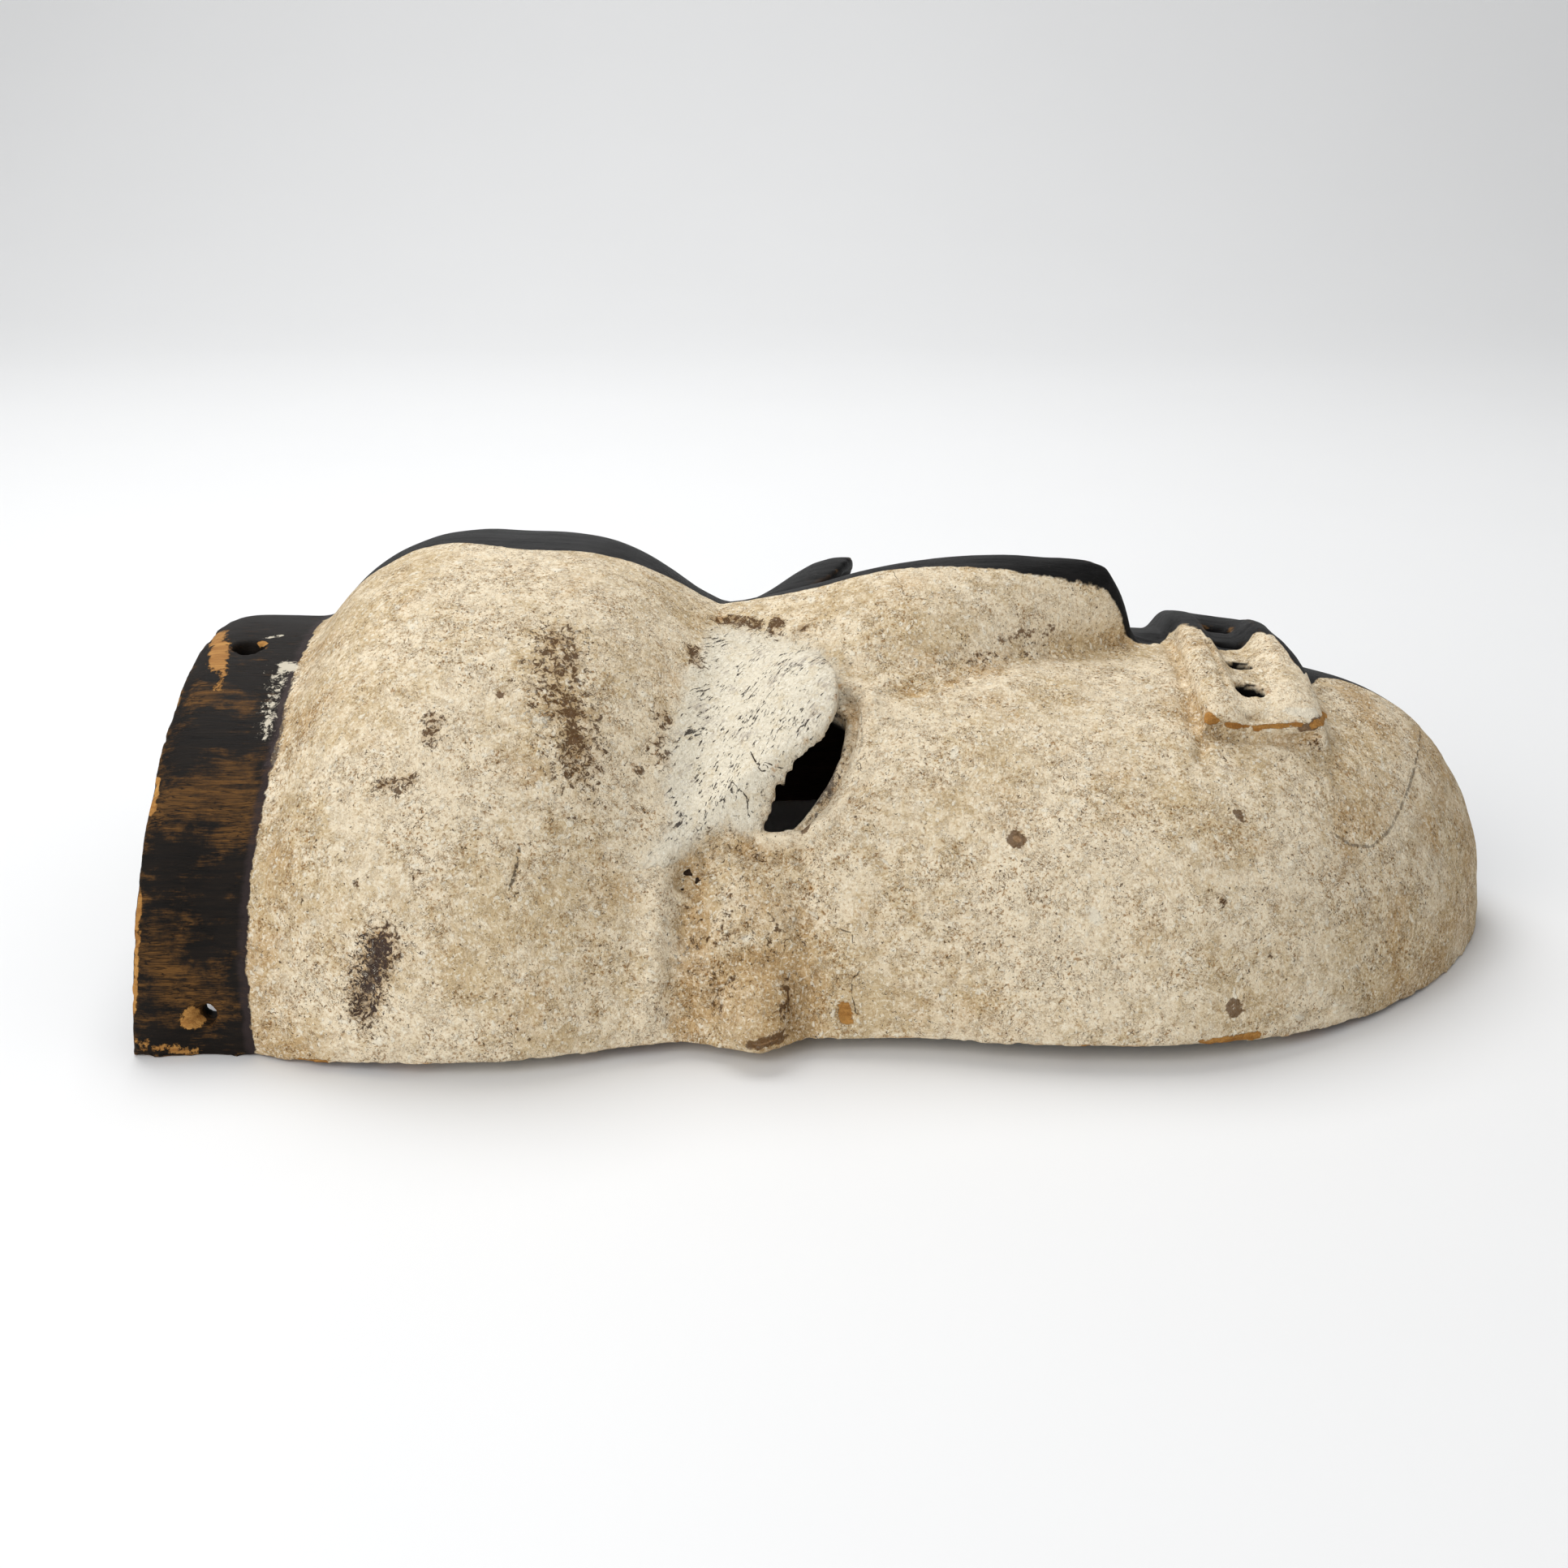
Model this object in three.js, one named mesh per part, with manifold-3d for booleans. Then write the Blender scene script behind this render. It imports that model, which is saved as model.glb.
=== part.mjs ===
// A carved wooden face mask, half white and half black, hollowed behind and open at the crown.
// It lies face up on its back rim. +X runs from the crown to the chin, +Y to the black side and
// +Z out of the face. All sizes are millimetres.
//
// The whole mask is one block of wood, so it is one mesh. Its face is an arch carried along the
// head: a width, a height and a squareness for each station, closed by a rounded chin. Bumps and
// hollows are carved on that arch, the inside is cut away, and the eyelids and the mouth frame,
// which stand proud of it, are joined on as they grow out of the wood.
import * as THREE from 'three';
import { mergeVertices } from 'three/addons/utils/BufferGeometryUtils.js';
import Module from 'manifold-3d';

const wasm = await Module();
wasm.setup();
const { clamp, lerp, smoothstep } = THREE.MathUtils;

// Driving dimensions
const CROWN = -154.6; // place of the open crown end on the centre line
const CHEEK = 64; // station where the arch ends and the chin begins
const CHIN_LENGTH = 93; // from that station to the tip of the chin
const CHIN_PLAN = 1.6; // squareness of the chin seen from the front, 2 is an ellipse
const CHIN_SQUARENESS = 2.4; // squareness of the chin's profile on the centre line
const WALL = 8.5; // thickness of the carved wall
const SKIRT = 8; // waste left below the rim until the rim is cut
const CREST_HOLE = { x: -142.7, y: -10, diameter: 7.6 }; // cord hole on top of the band
const SIDE_HOLE = { x: -142.7, z: 9.3, diameter: 6.4 }; // cord holes at both ends of the band

// Each list holds [place along X, value] pairs, read by a smooth curve.
// Half width of the head at the rim: forehead, waist at the eyes, cheeks.
const HALF_WIDTH = curve([
  [-158, 80.4], [-152, 80.9], [-143, 79.6], [-133, 80.3], [-120, 85], [-105, 88.6], [-84, 90.6],
  [-69, 88.6], [-58, 84.6], [-47, 80.8], [-35, 79], [-20, 78], [-5, 78.4], [15, 81.2], [30, 84], [46, 86],
  [64, 86.4],
]);
// Height of the centre line, without the nose and the lips: band, forehead, brow valley, cheeks.
const CREST = curve([
  [-154.6, 70.2], [-149, 72.2], [-137, 72], [-129, 71.7], [-126, 74], [-118, 83], [-108, 90], [-95, 93.8],
  [-78, 93.4], [-60, 92.4], [-47, 87.4], [-38, 81.2], [-30, 77], [-20, 75.6], [0, 74.6], [30, 73], [58, 69.4],
  [64, 69],
]);
// How far the foot of a station lies towards the crown of its top.
const LEAN = curve([[-154.6, 3.7], [-128, 2], [-76, 7], [-30, 17], [0, 10], [30, 3.5], [64, 0]]);
// Squareness of the arch: 2 is an ellipse, more is squarer.
const SQUARENESS = curve([
  [-150, 2.05], [-126, 2.07], [-95, 2.18], [-60, 2.1], [-45, 2], [-30, 1.92], [-20, 1.96], [-8, 2.07],
  [10, 2.12], [64, 2.11],
]);
// How far the white side's back rim clears the ground: it rests on it at the crown and below the chin.
const RIM_LIFT = curve([
  [-132, 0], [-120, 1], [-100, 2.8], [-80, 3.4], [-45, 3], [-20, 3.2], [0, 3.8], [45, 5], [65, 5.2],
  [80, 4.4], [95, 3], [110, 1.8], [125, 0.7], [140, 0],
]);
const BLACK_RIM = 0.3; // share of that gap under the rim of the black side

// The nose is a leaf: a blunt ridge, widest between the eyes and pointed over the lip.
const NOSE = { start: -31, tip: 69.5, offset: 2, fullness: 1.1, sunk: 0.5, embedded: 4 };
const NOSE_TOP = curve([
  [-31, 78], [-21, 79.8], [-6, 83.3], [1, 85.5], [11, 88], [22, 89.8], [33, 90.5], [49, 90.2], [57.5, 89.2],
  [61.5, 87], [64.3, 83.2], [66, 79], [68, 72.6], [69.5, 69.2],
]);
const NOSE_HALF_WIDTH = curve([
  [-31, 11], [-15, 22], [3, 31], [23, 25], [36, 19], [48, 13], [58, 9], [64, 5.8], [69.5, 2.6],
]);

const EYE = { x: -12, side: 48, bowl: 3.2, reach: 15, stretch: 1.35, rim: 1.3 };
// Outline of the eye opening from its middle: along X, and down the cheek.
const EYE_OUTLINE = [
  [9.5, -10], [8.2, -1], [5, 6.5], [0.5, 13.5], [-4, 18.6], [-9.5, 18], [-13, 11], [-14, 0], [-10, -10],
  [0, -16],
];

const EAR = { x: -21.5, z: 11, embedded: 4, flare: 6.5, hollow: 44 };
// Profile of the ear: [distance from its middle, height of the knob, height of the ring round it].
const EAR_PROFILE = [
  [0, 4.2, 0], [3.6, 3.8, 0], [6.6, 2.7, 0], [8.9, 0.9, 0], [10.6, -0.5, 0.2], [13, 0, 1.1], [15.6, 0, 1.6],
  [18.8, 0, 0.8], [21.5, -0.2, 0.1], [23.5, -0.9, 0],
];

// An eyelid is a hood: distances from the centre line, at its root in the brow and at its free edge.
const LID = {
  inner: [19, 21.5], outer: [63.5, 60.4], // [root, free edge]
  root: [-37, -39.5], // along X at the inner and the outer end
  thickness: 3.6,
  embedded: 3,
};
const BLACK_LID = { further: 5.6, rise: 1.44 }; // the lid of the black side stands wider open
// Along X of the free edge and its height above the face, from the inner to the outer end.
const LID_EDGE = curve([
  [0, -16.5], [0.08, -12.6], [0.17, -9.4], [0.33, -6], [0.5, -4.2], [0.62, -4], [0.75, -5.6], [0.84, -9.5],
  [0.9, -15], [0.94, -18.8], [1, -20.5],
]);
const LID_RISE = curve([
  [0, 2.5], [0.15, 5.5], [0.33, 8.3], [0.5, 10.2], [0.62, 10.6], [0.8, 9.9], [0.9, 9.2], [0.94, 8],
  [0.97, 4.5], [1, -0.5],
]);

// The mouth is a frame of two lips with a trough between them, which runs out at its white end.
const MOUTH = { near: [-42.8, -34.5], far: [37, 29], embedded: 3 };
// [place along X, share of the bow, height above the face, share of the trough]
const MOUTH_PROFILE = [
  [76.2, 0, -0.6, 0], [77.4, 0, 1.4, 0], [79, 0, 3.8, 0], [80.6, 0, 4.9, 0], [84.6, 0.1, 5.1, 0],
  [86, 0.1, 5.1, 0.4], [87.8, 0.1, 5.2, 0.95], [93.5, 0.2, 5.6, 1], [96, 0.3, 5.9, 0.55], [98.4, 0.5, 6.1, 0],
  [101, 0.8, 5.9, 0], [102.8, 1, 4.8, 0], [103.8, 1, 2.4, 0], [104.4, 1, -0.6, 0],
];
const MOUTH_ACROSS = [0, 0.03, 0.12, 0.22, 0.32, 0.42, 0.52, 0.62, 0.72, 0.8, 0.88, 0.97, 1];
// Depth of the trough across the mouth
const TROUGH = curve([
  [-41, 0], [-36, 1], [-26, 2.3], [-17, 3.6], [-6, 4.6], [8, 4.7], [18, 3.6], [27, 0.6], [30, 0],
]);
// The slots between the lips: across the mouth, width and depth from the face; four run right through.
const SLOT = { x: 90.8, length: 7.4 };
const SLOTS = [[17, 3.6, 30], [2.5, 3.6, 30], [-12, 3.8, 30], [-25.5, 4.8, 30], [-36, 2.2, -2]];

// A smooth curve through [place, value] pairs, level beyond its ends.
function curve(points) {
  const places = points.map(([place]) => place);
  const values = points.map(([, value]) => value);
  const cubic = new THREE.CubicInterpolant(places, values, 1);
  return (place) => cubic.evaluate(clamp(place, places[0], places.at(-1)))[0];
}

// 1 at the middle of a bump, fading to nothing past its width.
const bell = (distance, width) => Math.exp(-((distance / width) ** 2));

// The chin's profile is squarer on the centre line than where it joins the cheeks.
const chinSquareness = (sideways) => lerp(CHIN_SQUARENESS, SQUARENESS(CHEEK), sideways);

// The plain face at a station of the centre line and a share of the way from the centre (0) to a
// rim (-1 or 1). The inside of the mask is the same form, set in by the thickness of the wall.
function plainFace(station, across, inset = 0) {
  const half = Math.PI / 2;
  if (station <= CHEEK) {
    const n = SQUARENESS(station);
    const angle = Math.abs(across) * half;
    const rise = Math.cos(angle) ** (2 / n);
    const x = station - LEAN(station) * (1 - rise);
    const y = Math.sign(across) * (HALF_WIDTH(x) - inset) * Math.sin(angle) ** (2 / n);
    return new THREE.Vector3(x, y, (CREST(station) - inset) * rise);
  }
  // The chin spreads a square grid over half a disc, so that no point of it is pinched.
  const along = Math.asin(((station - CHEEK) / CHIN_LENGTH) ** (CHIN_SQUARENESS / 2)) / half;
  const forward = along * Math.sqrt(1 - across ** 2 / 2);
  const sideways = across * Math.sqrt(1 - along ** 2 / 2);
  const angle = Math.min(Math.hypot(forward, sideways), 1) * half;
  const turn = Math.atan2(sideways, forward);
  const n = chinSquareness(Math.sin(turn) ** 2);
  const out = Math.sin(angle) ** (2 / n);
  const x = CHEEK + (CHIN_LENGTH - inset) * out * Math.abs(Math.cos(turn)) ** (2 / CHIN_PLAN);
  const reach = (HALF_WIDTH(CHEEK) - inset) * out * Math.abs(Math.sin(turn)) ** (2 / CHIN_PLAN);
  return new THREE.Vector3(x, Math.sign(across) * reach, (CREST(CHEEK) - inset) * Math.cos(angle) ** (2 / n));
}

// Height of the plain face over a place seen from the front.
function plainHeight(x, y) {
  if (x <= CHEEK) {
    let station = x;
    let share = 0;
    for (let pass = 0; pass < 6; pass++) {
      const n = SQUARENESS(station);
      share = Math.max(1 - (Math.abs(y) / HALF_WIDTH(x)) ** n, 0) ** (1 / n);
      station = x + LEAN(station) * (1 - share);
    }
    return CREST(station) * share;
  }
  const forward = (x - CHEEK) / CHIN_LENGTH;
  const sideways = Math.abs(y) / HALF_WIDTH(CHEEK);
  const out = (forward ** CHIN_PLAN + sideways ** CHIN_PLAN) ** (1 / CHIN_PLAN);
  const n = chinSquareness((sideways / Math.max(out, 0.001)) ** CHIN_PLAN);
  return CREST(CHEEK) * Math.max(1 - out ** n, 0) ** (1 / n);
}

// The way out of the wood at a place seen from the front.
function outward(x, y) {
  const step = 0.5;
  const slopeX = (plainHeight(x + step, y) - plainHeight(x - step, y)) / (2 * step);
  const slopeY = (plainHeight(x, y + step) - plainHeight(x, y - step)) / (2 * step);
  return new THREE.Vector3(-slopeX, -slopeY, 1).normalize();
}

const onFace = (x, y) => new THREE.Vector3(x, y, plainHeight(x, y));

// A place on the side of the head at a given height.
function onSide(x, z, side) {
  let low = 0;
  let high = HALF_WIDTH(x);
  for (let pass = 0; pass < 30; pass++) {
    const middle = (low + high) / 2;
    if (plainHeight(x, middle) > z) low = middle;
    else high = middle;
  }
  return new THREE.Vector3(x, side * low, z);
}

const EYE_PLACES = [-1, 1].map((side) => onFace(EYE.x, side * EYE.side));

// Carving that swells from the plain face or sinks into it, measured along the way out.
function relief(point) {
  let lift = 0;
  for (const eye of EYE_PLACES) {
    const along = point.x - eye.x;
    const away = Math.hypot(along, Math.hypot(point.y - eye.y, point.z - eye.z) / EYE.stretch);
    lift -= EYE.bowl * (1 - smoothstep(away, EYE.reach * 0.55, EYE.reach));
    lift += EYE.rim * smoothstep(along, -6, 8) * bell(away - EYE.reach - 2, 4);
  }
  // The rim flares out below the ear.
  lift += EAR.flare * bell(point.x - EAR.x, 14) * (1 - smoothstep(point.z, 2, 26));
  // A hollow between the ear and the eye, one over the upper lip and one below the lower lip.
  lift -= 1.6 * bell(point.x - EAR.x - 2, 14) * bell(point.z - EAR.hollow, 6);
  lift += 1.1 * bell(point.x - 71, 6) * (bell(point.y - 2, 11) - bell(point.y - 36, 18));
  lift -= 2 * bell(point.x - 110, 9) * bell(point.y - 10, 40);
  // The chin is a little fuller on top.
  lift += 0.8 * smoothstep(point.x, 112, 135) * bell(point.z - 50, 13);
  return lift;
}

function carvedFace(station, across) {
  const plain = plainFace(station, across);
  const step = 0.004;
  const before = Math.max(station - 0.5, CROWN);
  const after = Math.min(station + 0.5, CHEEK + CHIN_LENGTH - 0.01);
  const alongX = plainFace(before, across).sub(plainFace(after, across));
  const oneSide = Math.max(across - step, -1);
  const otherSide = Math.min(across + step, 1);
  const alongY = plainFace(station, oneSide).sub(plainFace(station, otherSide));
  const out = alongX.cross(alongY).normalize();
  return plain.clone().addScaledVector(out, relief(plain));
}

// A solid with a grid of stations on top, straight skirts below and a flat underside.
function arched(stations, columns, surface, skirt) {
  const rows = stations.length - 1;
  const geometry = new THREE.BoxGeometry(1, 1, 1, rows, columns, 1);
  const position = geometry.attributes.position;
  for (let i = 0; i < position.count; i++) {
    const row = Math.round((position.getX(i) + 0.5) * rows);
    const across = clamp(2 * position.getY(i), -1, 1);
    const station = stations[row];
    const point = surface(station, across);
    if (position.getZ(i) < 0) {
      const lean = station <= CHEEK ? (LEAN(station) * skirt) / CREST(station) : 0;
      const edge = row === 0 || row === rows || Math.abs(across) === 1;
      const under = edge ? point : plainFace(station, across, 1);
      const drop = under.z * (station <= CHEEK ? LEAN(station) / CREST(station) : 0);
      point.set(under.x - drop - lean, under.y, -skirt);
    }
    position.setXYZ(i, point.x, point.y, point.z);
  }
  return geometry;
}

// A patch of solid between two height functions over a grid seen from the front.
function patch(columns, rows, place, top, bottom) {
  const geometry = new THREE.BoxGeometry(1, 1, 1, columns, rows, 1);
  const position = geometry.attributes.position;
  for (let i = 0; i < position.count; i++) {
    const a = position.getX(i) + 0.5;
    const t = position.getY(i) + 0.5;
    const [x, y] = place(a, t);
    const z = position.getZ(i) > 0 ? top(x, y, a, t) : bottom(x, y, a, t);
    position.setXYZ(i, x, y, z);
  }
  return geometry;
}

function steps(from, to, step) {
  const count = Math.max(Math.round((to - from) / step), 1);
  return Array.from({ length: count }, (_, i) => from + ((to - from) * i) / count);
}

// Booleans
function solid(geometry) {
  const bare = geometry.clone();
  bare.deleteAttribute('normal');
  bare.deleteAttribute('uv');
  bare.clearGroups();
  const merged = mergeVertices(bare, 1e-4);
  return new wasm.Manifold(new wasm.Mesh({
    numProp: 3,
    vertProperties: Float32Array.from(merged.attributes.position.array),
    triVerts: Uint32Array.from(merged.index.array),
  }));
}

function geometryOf(body) {
  const mesh = body.getMesh();
  const geometry = new THREE.BufferGeometry();
  geometry.setAttribute('position', new THREE.BufferAttribute(mesh.vertProperties, 3));
  geometry.setIndex(new THREE.BufferAttribute(mesh.triVerts, 1));
  geometry.computeVertexNormals();
  return geometry;
}

// The outside of the block, before anything is cut
function block() {
  const tip = CHEEK + CHIN_LENGTH;
  const stations = [
    ...steps(CROWN, -149, 5), ...steps(-149, -129, 10), ...steps(-129, -109, 4), ...steps(-109, -61, 9.6),
    ...steps(-61, -25, 6), ...steps(-25, CHEEK, 6.9), ...steps(CHEEK, 128, 8), ...steps(128, 150, 7.3),
    150, 155, tip,
  ];
  return solid(arched(stations, 38, carvedFace, SKIRT));
}

// The hollow behind the face, running out through the crown
function hollow() {
  const tip = CHEEK + CHIN_LENGTH;
  const inside = (station, across) => plainFace(station, across, WALL);
  const stations = [
    ...steps(CROWN - 20, -130, 22), ...steps(-130, CHEEK, 10.8), ...steps(CHEEK, 142, 11), 150, tip,
  ];
  return solid(arched(stations, 18, inside, SKIRT * 2));
}

// Everything below a back rim, from the white side as far across as given
function groundBelowRim(share, across) {
  const reach = 190;
  const outline = new THREE.Shape();
  outline.moveTo(-reach, -4 * SKIRT);
  outline.lineTo(-reach, 0);
  for (const x of [-132, ...steps(-120, 130, 12.5), 140]) outline.lineTo(x, share * Math.max(RIM_LIFT(x), 0));
  outline.lineTo(reach, 0);
  outline.lineTo(reach, -4 * SKIRT);
  const geometry = new THREE.ExtrudeGeometry(outline, { depth: reach + across, bevelEnabled: false });
  geometry.translate(0, 0, -across);
  geometry.rotateX(Math.PI / 2);
  return solid(geometry);
}

// A cutter standing on the face: an outline pushed in along the way out of the wood
function cutter(outline, x, y, outside, depth) {
  const through = { depth: outside + depth, bevelEnabled: false, curveSegments: 3 };
  const geometry = new THREE.ExtrudeGeometry(outline, through);
  geometry.translate(0, 0, -depth);
  const out = outward(x, y);
  const along = new THREE.Vector3(1, 0, 0).addScaledVector(out, -out.x).normalize();
  const across = out.clone().cross(along);
  const place = new THREE.Matrix4().makeBasis(along, across, out);
  place.setPosition(onFace(x, y));
  geometry.applyMatrix4(place);
  return solid(geometry);
}

function eyeHole(side) {
  const points = [...EYE_OUTLINE, EYE_OUTLINE[0]].map(([x, down]) => new THREE.Vector2(x, side * down));
  const outline = new THREE.Shape(new THREE.SplineCurve(points).getPoints(20).slice(0, -1));
  return cutter(outline, EYE.x, side * EYE.side, 14, 24);
}

// The nose lies on the face as a leaf, its edges sunk a little into it.
function nose() {
  const place = (a, t) => {
    const x = lerp(NOSE.start, NOSE.tip, Math.sin((a * Math.PI) / 2) ** 1.15);
    return [x, NOSE.offset + (2 * t - 1) * NOSE_HALF_WIDTH(x)];
  };
  const top = (x, y, a, t) => {
    const share = Math.abs(2 * t - 1);
    const rise = NOSE_TOP(x) - plainHeight(x, NOSE.offset);
    return plainHeight(x, y) + rise * (1 - share ** 2) ** NOSE.fullness - NOSE.sunk * share ** 4;
  };
  const bottom = (x, y) => plainHeight(x, y) - NOSE.embedded;
  return solid(patch(16, 10, place, top, bottom));
}

// An ear is a turned boss laid on the side of the head: a knob, with a ring over its upper half.
function ear(side) {
  const rim = EAR_PROFILE.at(-1)[0];
  const profile = EAR_PROFILE.map(([radius], i) => new THREE.Vector2(radius, i + 1));
  const turned = [...profile, new THREE.Vector2(rim, 0), new THREE.Vector2(0, 0)].reverse();
  const geometry = new THREE.LatheGeometry(turned, 18);
  const position = geometry.attributes.position;
  for (let i = 0; i < position.count; i++) {
    const along = position.getX(i);
    const up = position.getZ(i);
    const row = Math.round(position.getY(i));
    const upper = smoothstep(up, -rim * 0.45, rim * 0.5);
    const [, knob, ring] = row > 0 ? EAR_PROFILE[row - 1] : [0, -EAR.embedded, 0];
    const plain = onSide(EAR.x + along, EAR.z + up, side);
    const height = relief(plain) + knob + ring * upper - (row > 7 ? 0.6 * (1 - upper) : 0);
    const out = outward(plain.x, side * Math.min(Math.abs(plain.y), HALF_WIDTH(plain.x) - 1.5));
    plain.addScaledVector(out.setX(0).normalize(), height);
    position.setXYZ(i, plain.x, plain.y, plain.z);
  }
  if (side < 0) flip(geometry);
  return solid(geometry);
}

// An eyelid grows out of the brow valley and flares up to its free edge, hollow below.
function eyelid(side) {
  const { further, rise } = side > 0 ? BLACK_LID : { further: 0, rise: 1 };
  const place = (a, t) => {
    const inner = lerp(...LID.inner, a);
    const outer = lerp(...LID.outer, a);
    return [lerp(lerp(...LID.root, t), LID_EDGE(t) + further, a), side * lerp(inner, outer, t)];
  };
  const top = (x, y, a, t) => {
    const flush = -0.5 * (1 - smoothstep(a, 0, 0.3));
    return plainHeight(x, y) + rise * LID_RISE(t) * smoothstep(a, lerp(0.2, 0, t), lerp(1, 0.8, t)) + flush;
  };
  const bottom = (x, y, a, t) => {
    const open = smoothstep(a, 0.22, 0.45) * smoothstep(t, 0.06, 0.2) * (1 - smoothstep(t, 0.9, 0.95));
    return lerp(plainHeight(x, y) - LID.embedded, top(x, y, a, t) - LID.thickness, open);
  };
  const geometry = patch(8, 15, place, top, bottom);
  if (side < 0) flip(geometry);
  return solid(geometry);
}

// Turn a mirrored mesh the right way out.
function flip(geometry) {
  const index = geometry.index;
  for (let i = 0; i < index.count; i += 3) {
    const first = index.getX(i);
    index.setX(i, index.getX(i + 1));
    index.setX(i + 1, first);
  }
}

// The lower lip bows round the chin.
const mouthBow = (y) => 4.4 * (1 - bell(y - 8, 16));

function mouthFrame() {
  const last = MOUTH_PROFILE.length - 1;
  const steps = MOUTH_ACROSS.length - 1;
  const rowOf = (a) => MOUTH_PROFILE[Math.round(a * last)];
  const place = (a, t) => {
    const y = lerp(lerp(...MOUTH.near, a), lerp(...MOUTH.far, a), MOUTH_ACROSS[Math.round(t * steps)]);
    const [along, share] = rowOf(a);
    return [along + share * mouthBow(y), y];
  };
  const top = (x, y, a, t) => {
    const [, , height, share] = rowOf(a);
    const worn = t < 0.01 || t > 0.99 ? 0.7 : 0;
    return plainHeight(x, y) + height - share * TROUGH(y) - worn;
  };
  const bottom = (x, y) => plainHeight(x, y) - MOUTH.embedded;
  return solid(patch(last, steps, place, top, bottom));
}

function slot(y, width, depth) {
  const outline = new THREE.Shape();
  const straight = (SLOT.length - width) / 2;
  outline.absarc(straight, 0, width / 2, -Math.PI / 2, Math.PI / 2);
  outline.absarc(-straight, 0, width / 2, Math.PI / 2, (3 * Math.PI) / 2);
  return cutter(outline, SLOT.x, y, 12, depth);
}

// Holes in the band for the cord of the cap: one bored straight down and one through each side
function cordHole(diameter, point, turn) {
  const geometry = new THREE.CylinderGeometry(diameter / 2, diameter / 2, 40, 14);
  geometry.rotateX(turn);
  geometry.translate(point.x, point.y, point.z);
  return solid(geometry);
}

function cordHoles() {
  const crest = cordHole(CREST_HOLE.diameter, onFace(CREST_HOLE.x, CREST_HOLE.y), Math.PI / 2);
  const { x, z, diameter } = SIDE_HOLE;
  return [crest, ...[-1, 1].map((side) => cordHole(diameter, onSide(x, z, side), 0))];
}

function carve() {
  let body = block().subtract(hollow());
  for (const side of [-1, 1]) body = body.subtract(eyeHole(side)).add(ear(side));
  body = body.add(nose());
  for (const side of [-1, 1]) body = body.add(eyelid(side));
  body = body.add(mouthFrame());
  for (const [y, width, depth] of SLOTS) body = body.subtract(slot(y, width, depth));
  for (const hole of cordHoles()) body = body.subtract(hole);
  return body.subtract(groundBelowRim(BLACK_RIM, HALF_WIDTH(CHEEK) + SKIRT)).subtract(groundBelowRim(1, 0));
}

// The origin is under the middle of the mask, on the ground.
function centred(geometry) {
  geometry.computeBoundingBox();
  const middle = geometry.boundingBox.getCenter(new THREE.Vector3());
  geometry.translate(-middle.x, -middle.y, -geometry.boundingBox.min.z);
  return geometry;
}

const paintedWood = new THREE.MeshStandardMaterial({ color: 0xc8b9a0, roughness: 0.9, metalness: 0 });
const mask = new THREE.Mesh(centred(geometryOf(carve())), paintedWood);
mask.name = 'mask';

const part = new THREE.Group();
part.add(mask);

export default part;
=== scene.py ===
"""Looks of a carved and painted face mask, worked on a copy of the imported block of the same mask."""

import math
from collections import namedtuple
from itertools import product

import bmesh
import bpy
import numpy as np
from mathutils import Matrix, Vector
from mathutils.bvhtree import BVHTree
from mathutils.kdtree import KDTree


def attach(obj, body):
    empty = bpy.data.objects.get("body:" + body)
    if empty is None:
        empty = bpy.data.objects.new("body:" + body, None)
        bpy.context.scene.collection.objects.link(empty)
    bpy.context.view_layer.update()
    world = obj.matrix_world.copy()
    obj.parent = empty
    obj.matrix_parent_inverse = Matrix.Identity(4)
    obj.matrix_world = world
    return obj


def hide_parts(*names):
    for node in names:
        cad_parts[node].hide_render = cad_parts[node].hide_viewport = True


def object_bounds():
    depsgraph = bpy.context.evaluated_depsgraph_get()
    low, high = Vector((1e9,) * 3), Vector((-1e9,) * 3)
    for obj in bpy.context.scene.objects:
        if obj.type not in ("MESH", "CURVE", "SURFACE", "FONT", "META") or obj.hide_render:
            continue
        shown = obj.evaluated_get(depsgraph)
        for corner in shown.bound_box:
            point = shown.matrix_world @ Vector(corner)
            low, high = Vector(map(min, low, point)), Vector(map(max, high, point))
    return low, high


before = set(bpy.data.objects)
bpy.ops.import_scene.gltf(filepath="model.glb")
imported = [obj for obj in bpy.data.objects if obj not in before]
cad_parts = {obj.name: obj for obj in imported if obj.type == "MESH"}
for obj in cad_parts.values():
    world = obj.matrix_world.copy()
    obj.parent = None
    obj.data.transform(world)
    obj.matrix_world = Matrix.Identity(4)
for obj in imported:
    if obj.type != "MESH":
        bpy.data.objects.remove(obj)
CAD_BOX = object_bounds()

bl_info = {
    "name": "Pende mask",
    "version": (1, 0, 0),
    "blender": (4, 5, 0),
    "location": "View3D > Sidebar > Mask",
    "description": "A carved wooden face mask with a kaolin half and a charcoal half",
    "category": "Object",
}

MM = 1000  # millimetres in a metre
PHOTO_SIDE = 1932  # the photograph's width and height in pixels
FOCAL_PIXELS = 2750  # focal length of the photograph's lens in its own pixels
SENSOR = 36  # width of the camera's sensor in millimetres
CAMERA_RISE = math.radians(21)  # how far the camera looks down
CAMERA_AIM = Vector((-15.5, 0, 33))  # the point in the middle of the photograph, in millimetres
CAMERA_DISTANCE = 550  # from that point to the camera, in millimetres
PIXELS_PER_MM = 5.3  # how large the photograph shows the near side
FAR = 8  # distances from a border of paint are stored up to this, in millimetres
BAND_HALF_WIDTH = 81  # at the band's side holes, in millimetres
EAR_PLACE = (
    -20.8, 77, 12
)  # middle of the dark side's ear in millimetres; the pale side's is its mirror image
LAMP_PLACE = Vector((-0.2, 0.45, 1.0))  # behind the mask and high up, in metres
FILL_PLACE = Vector((-0.55, -0.8, 0.6))  # beside the camera, in metres

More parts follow.
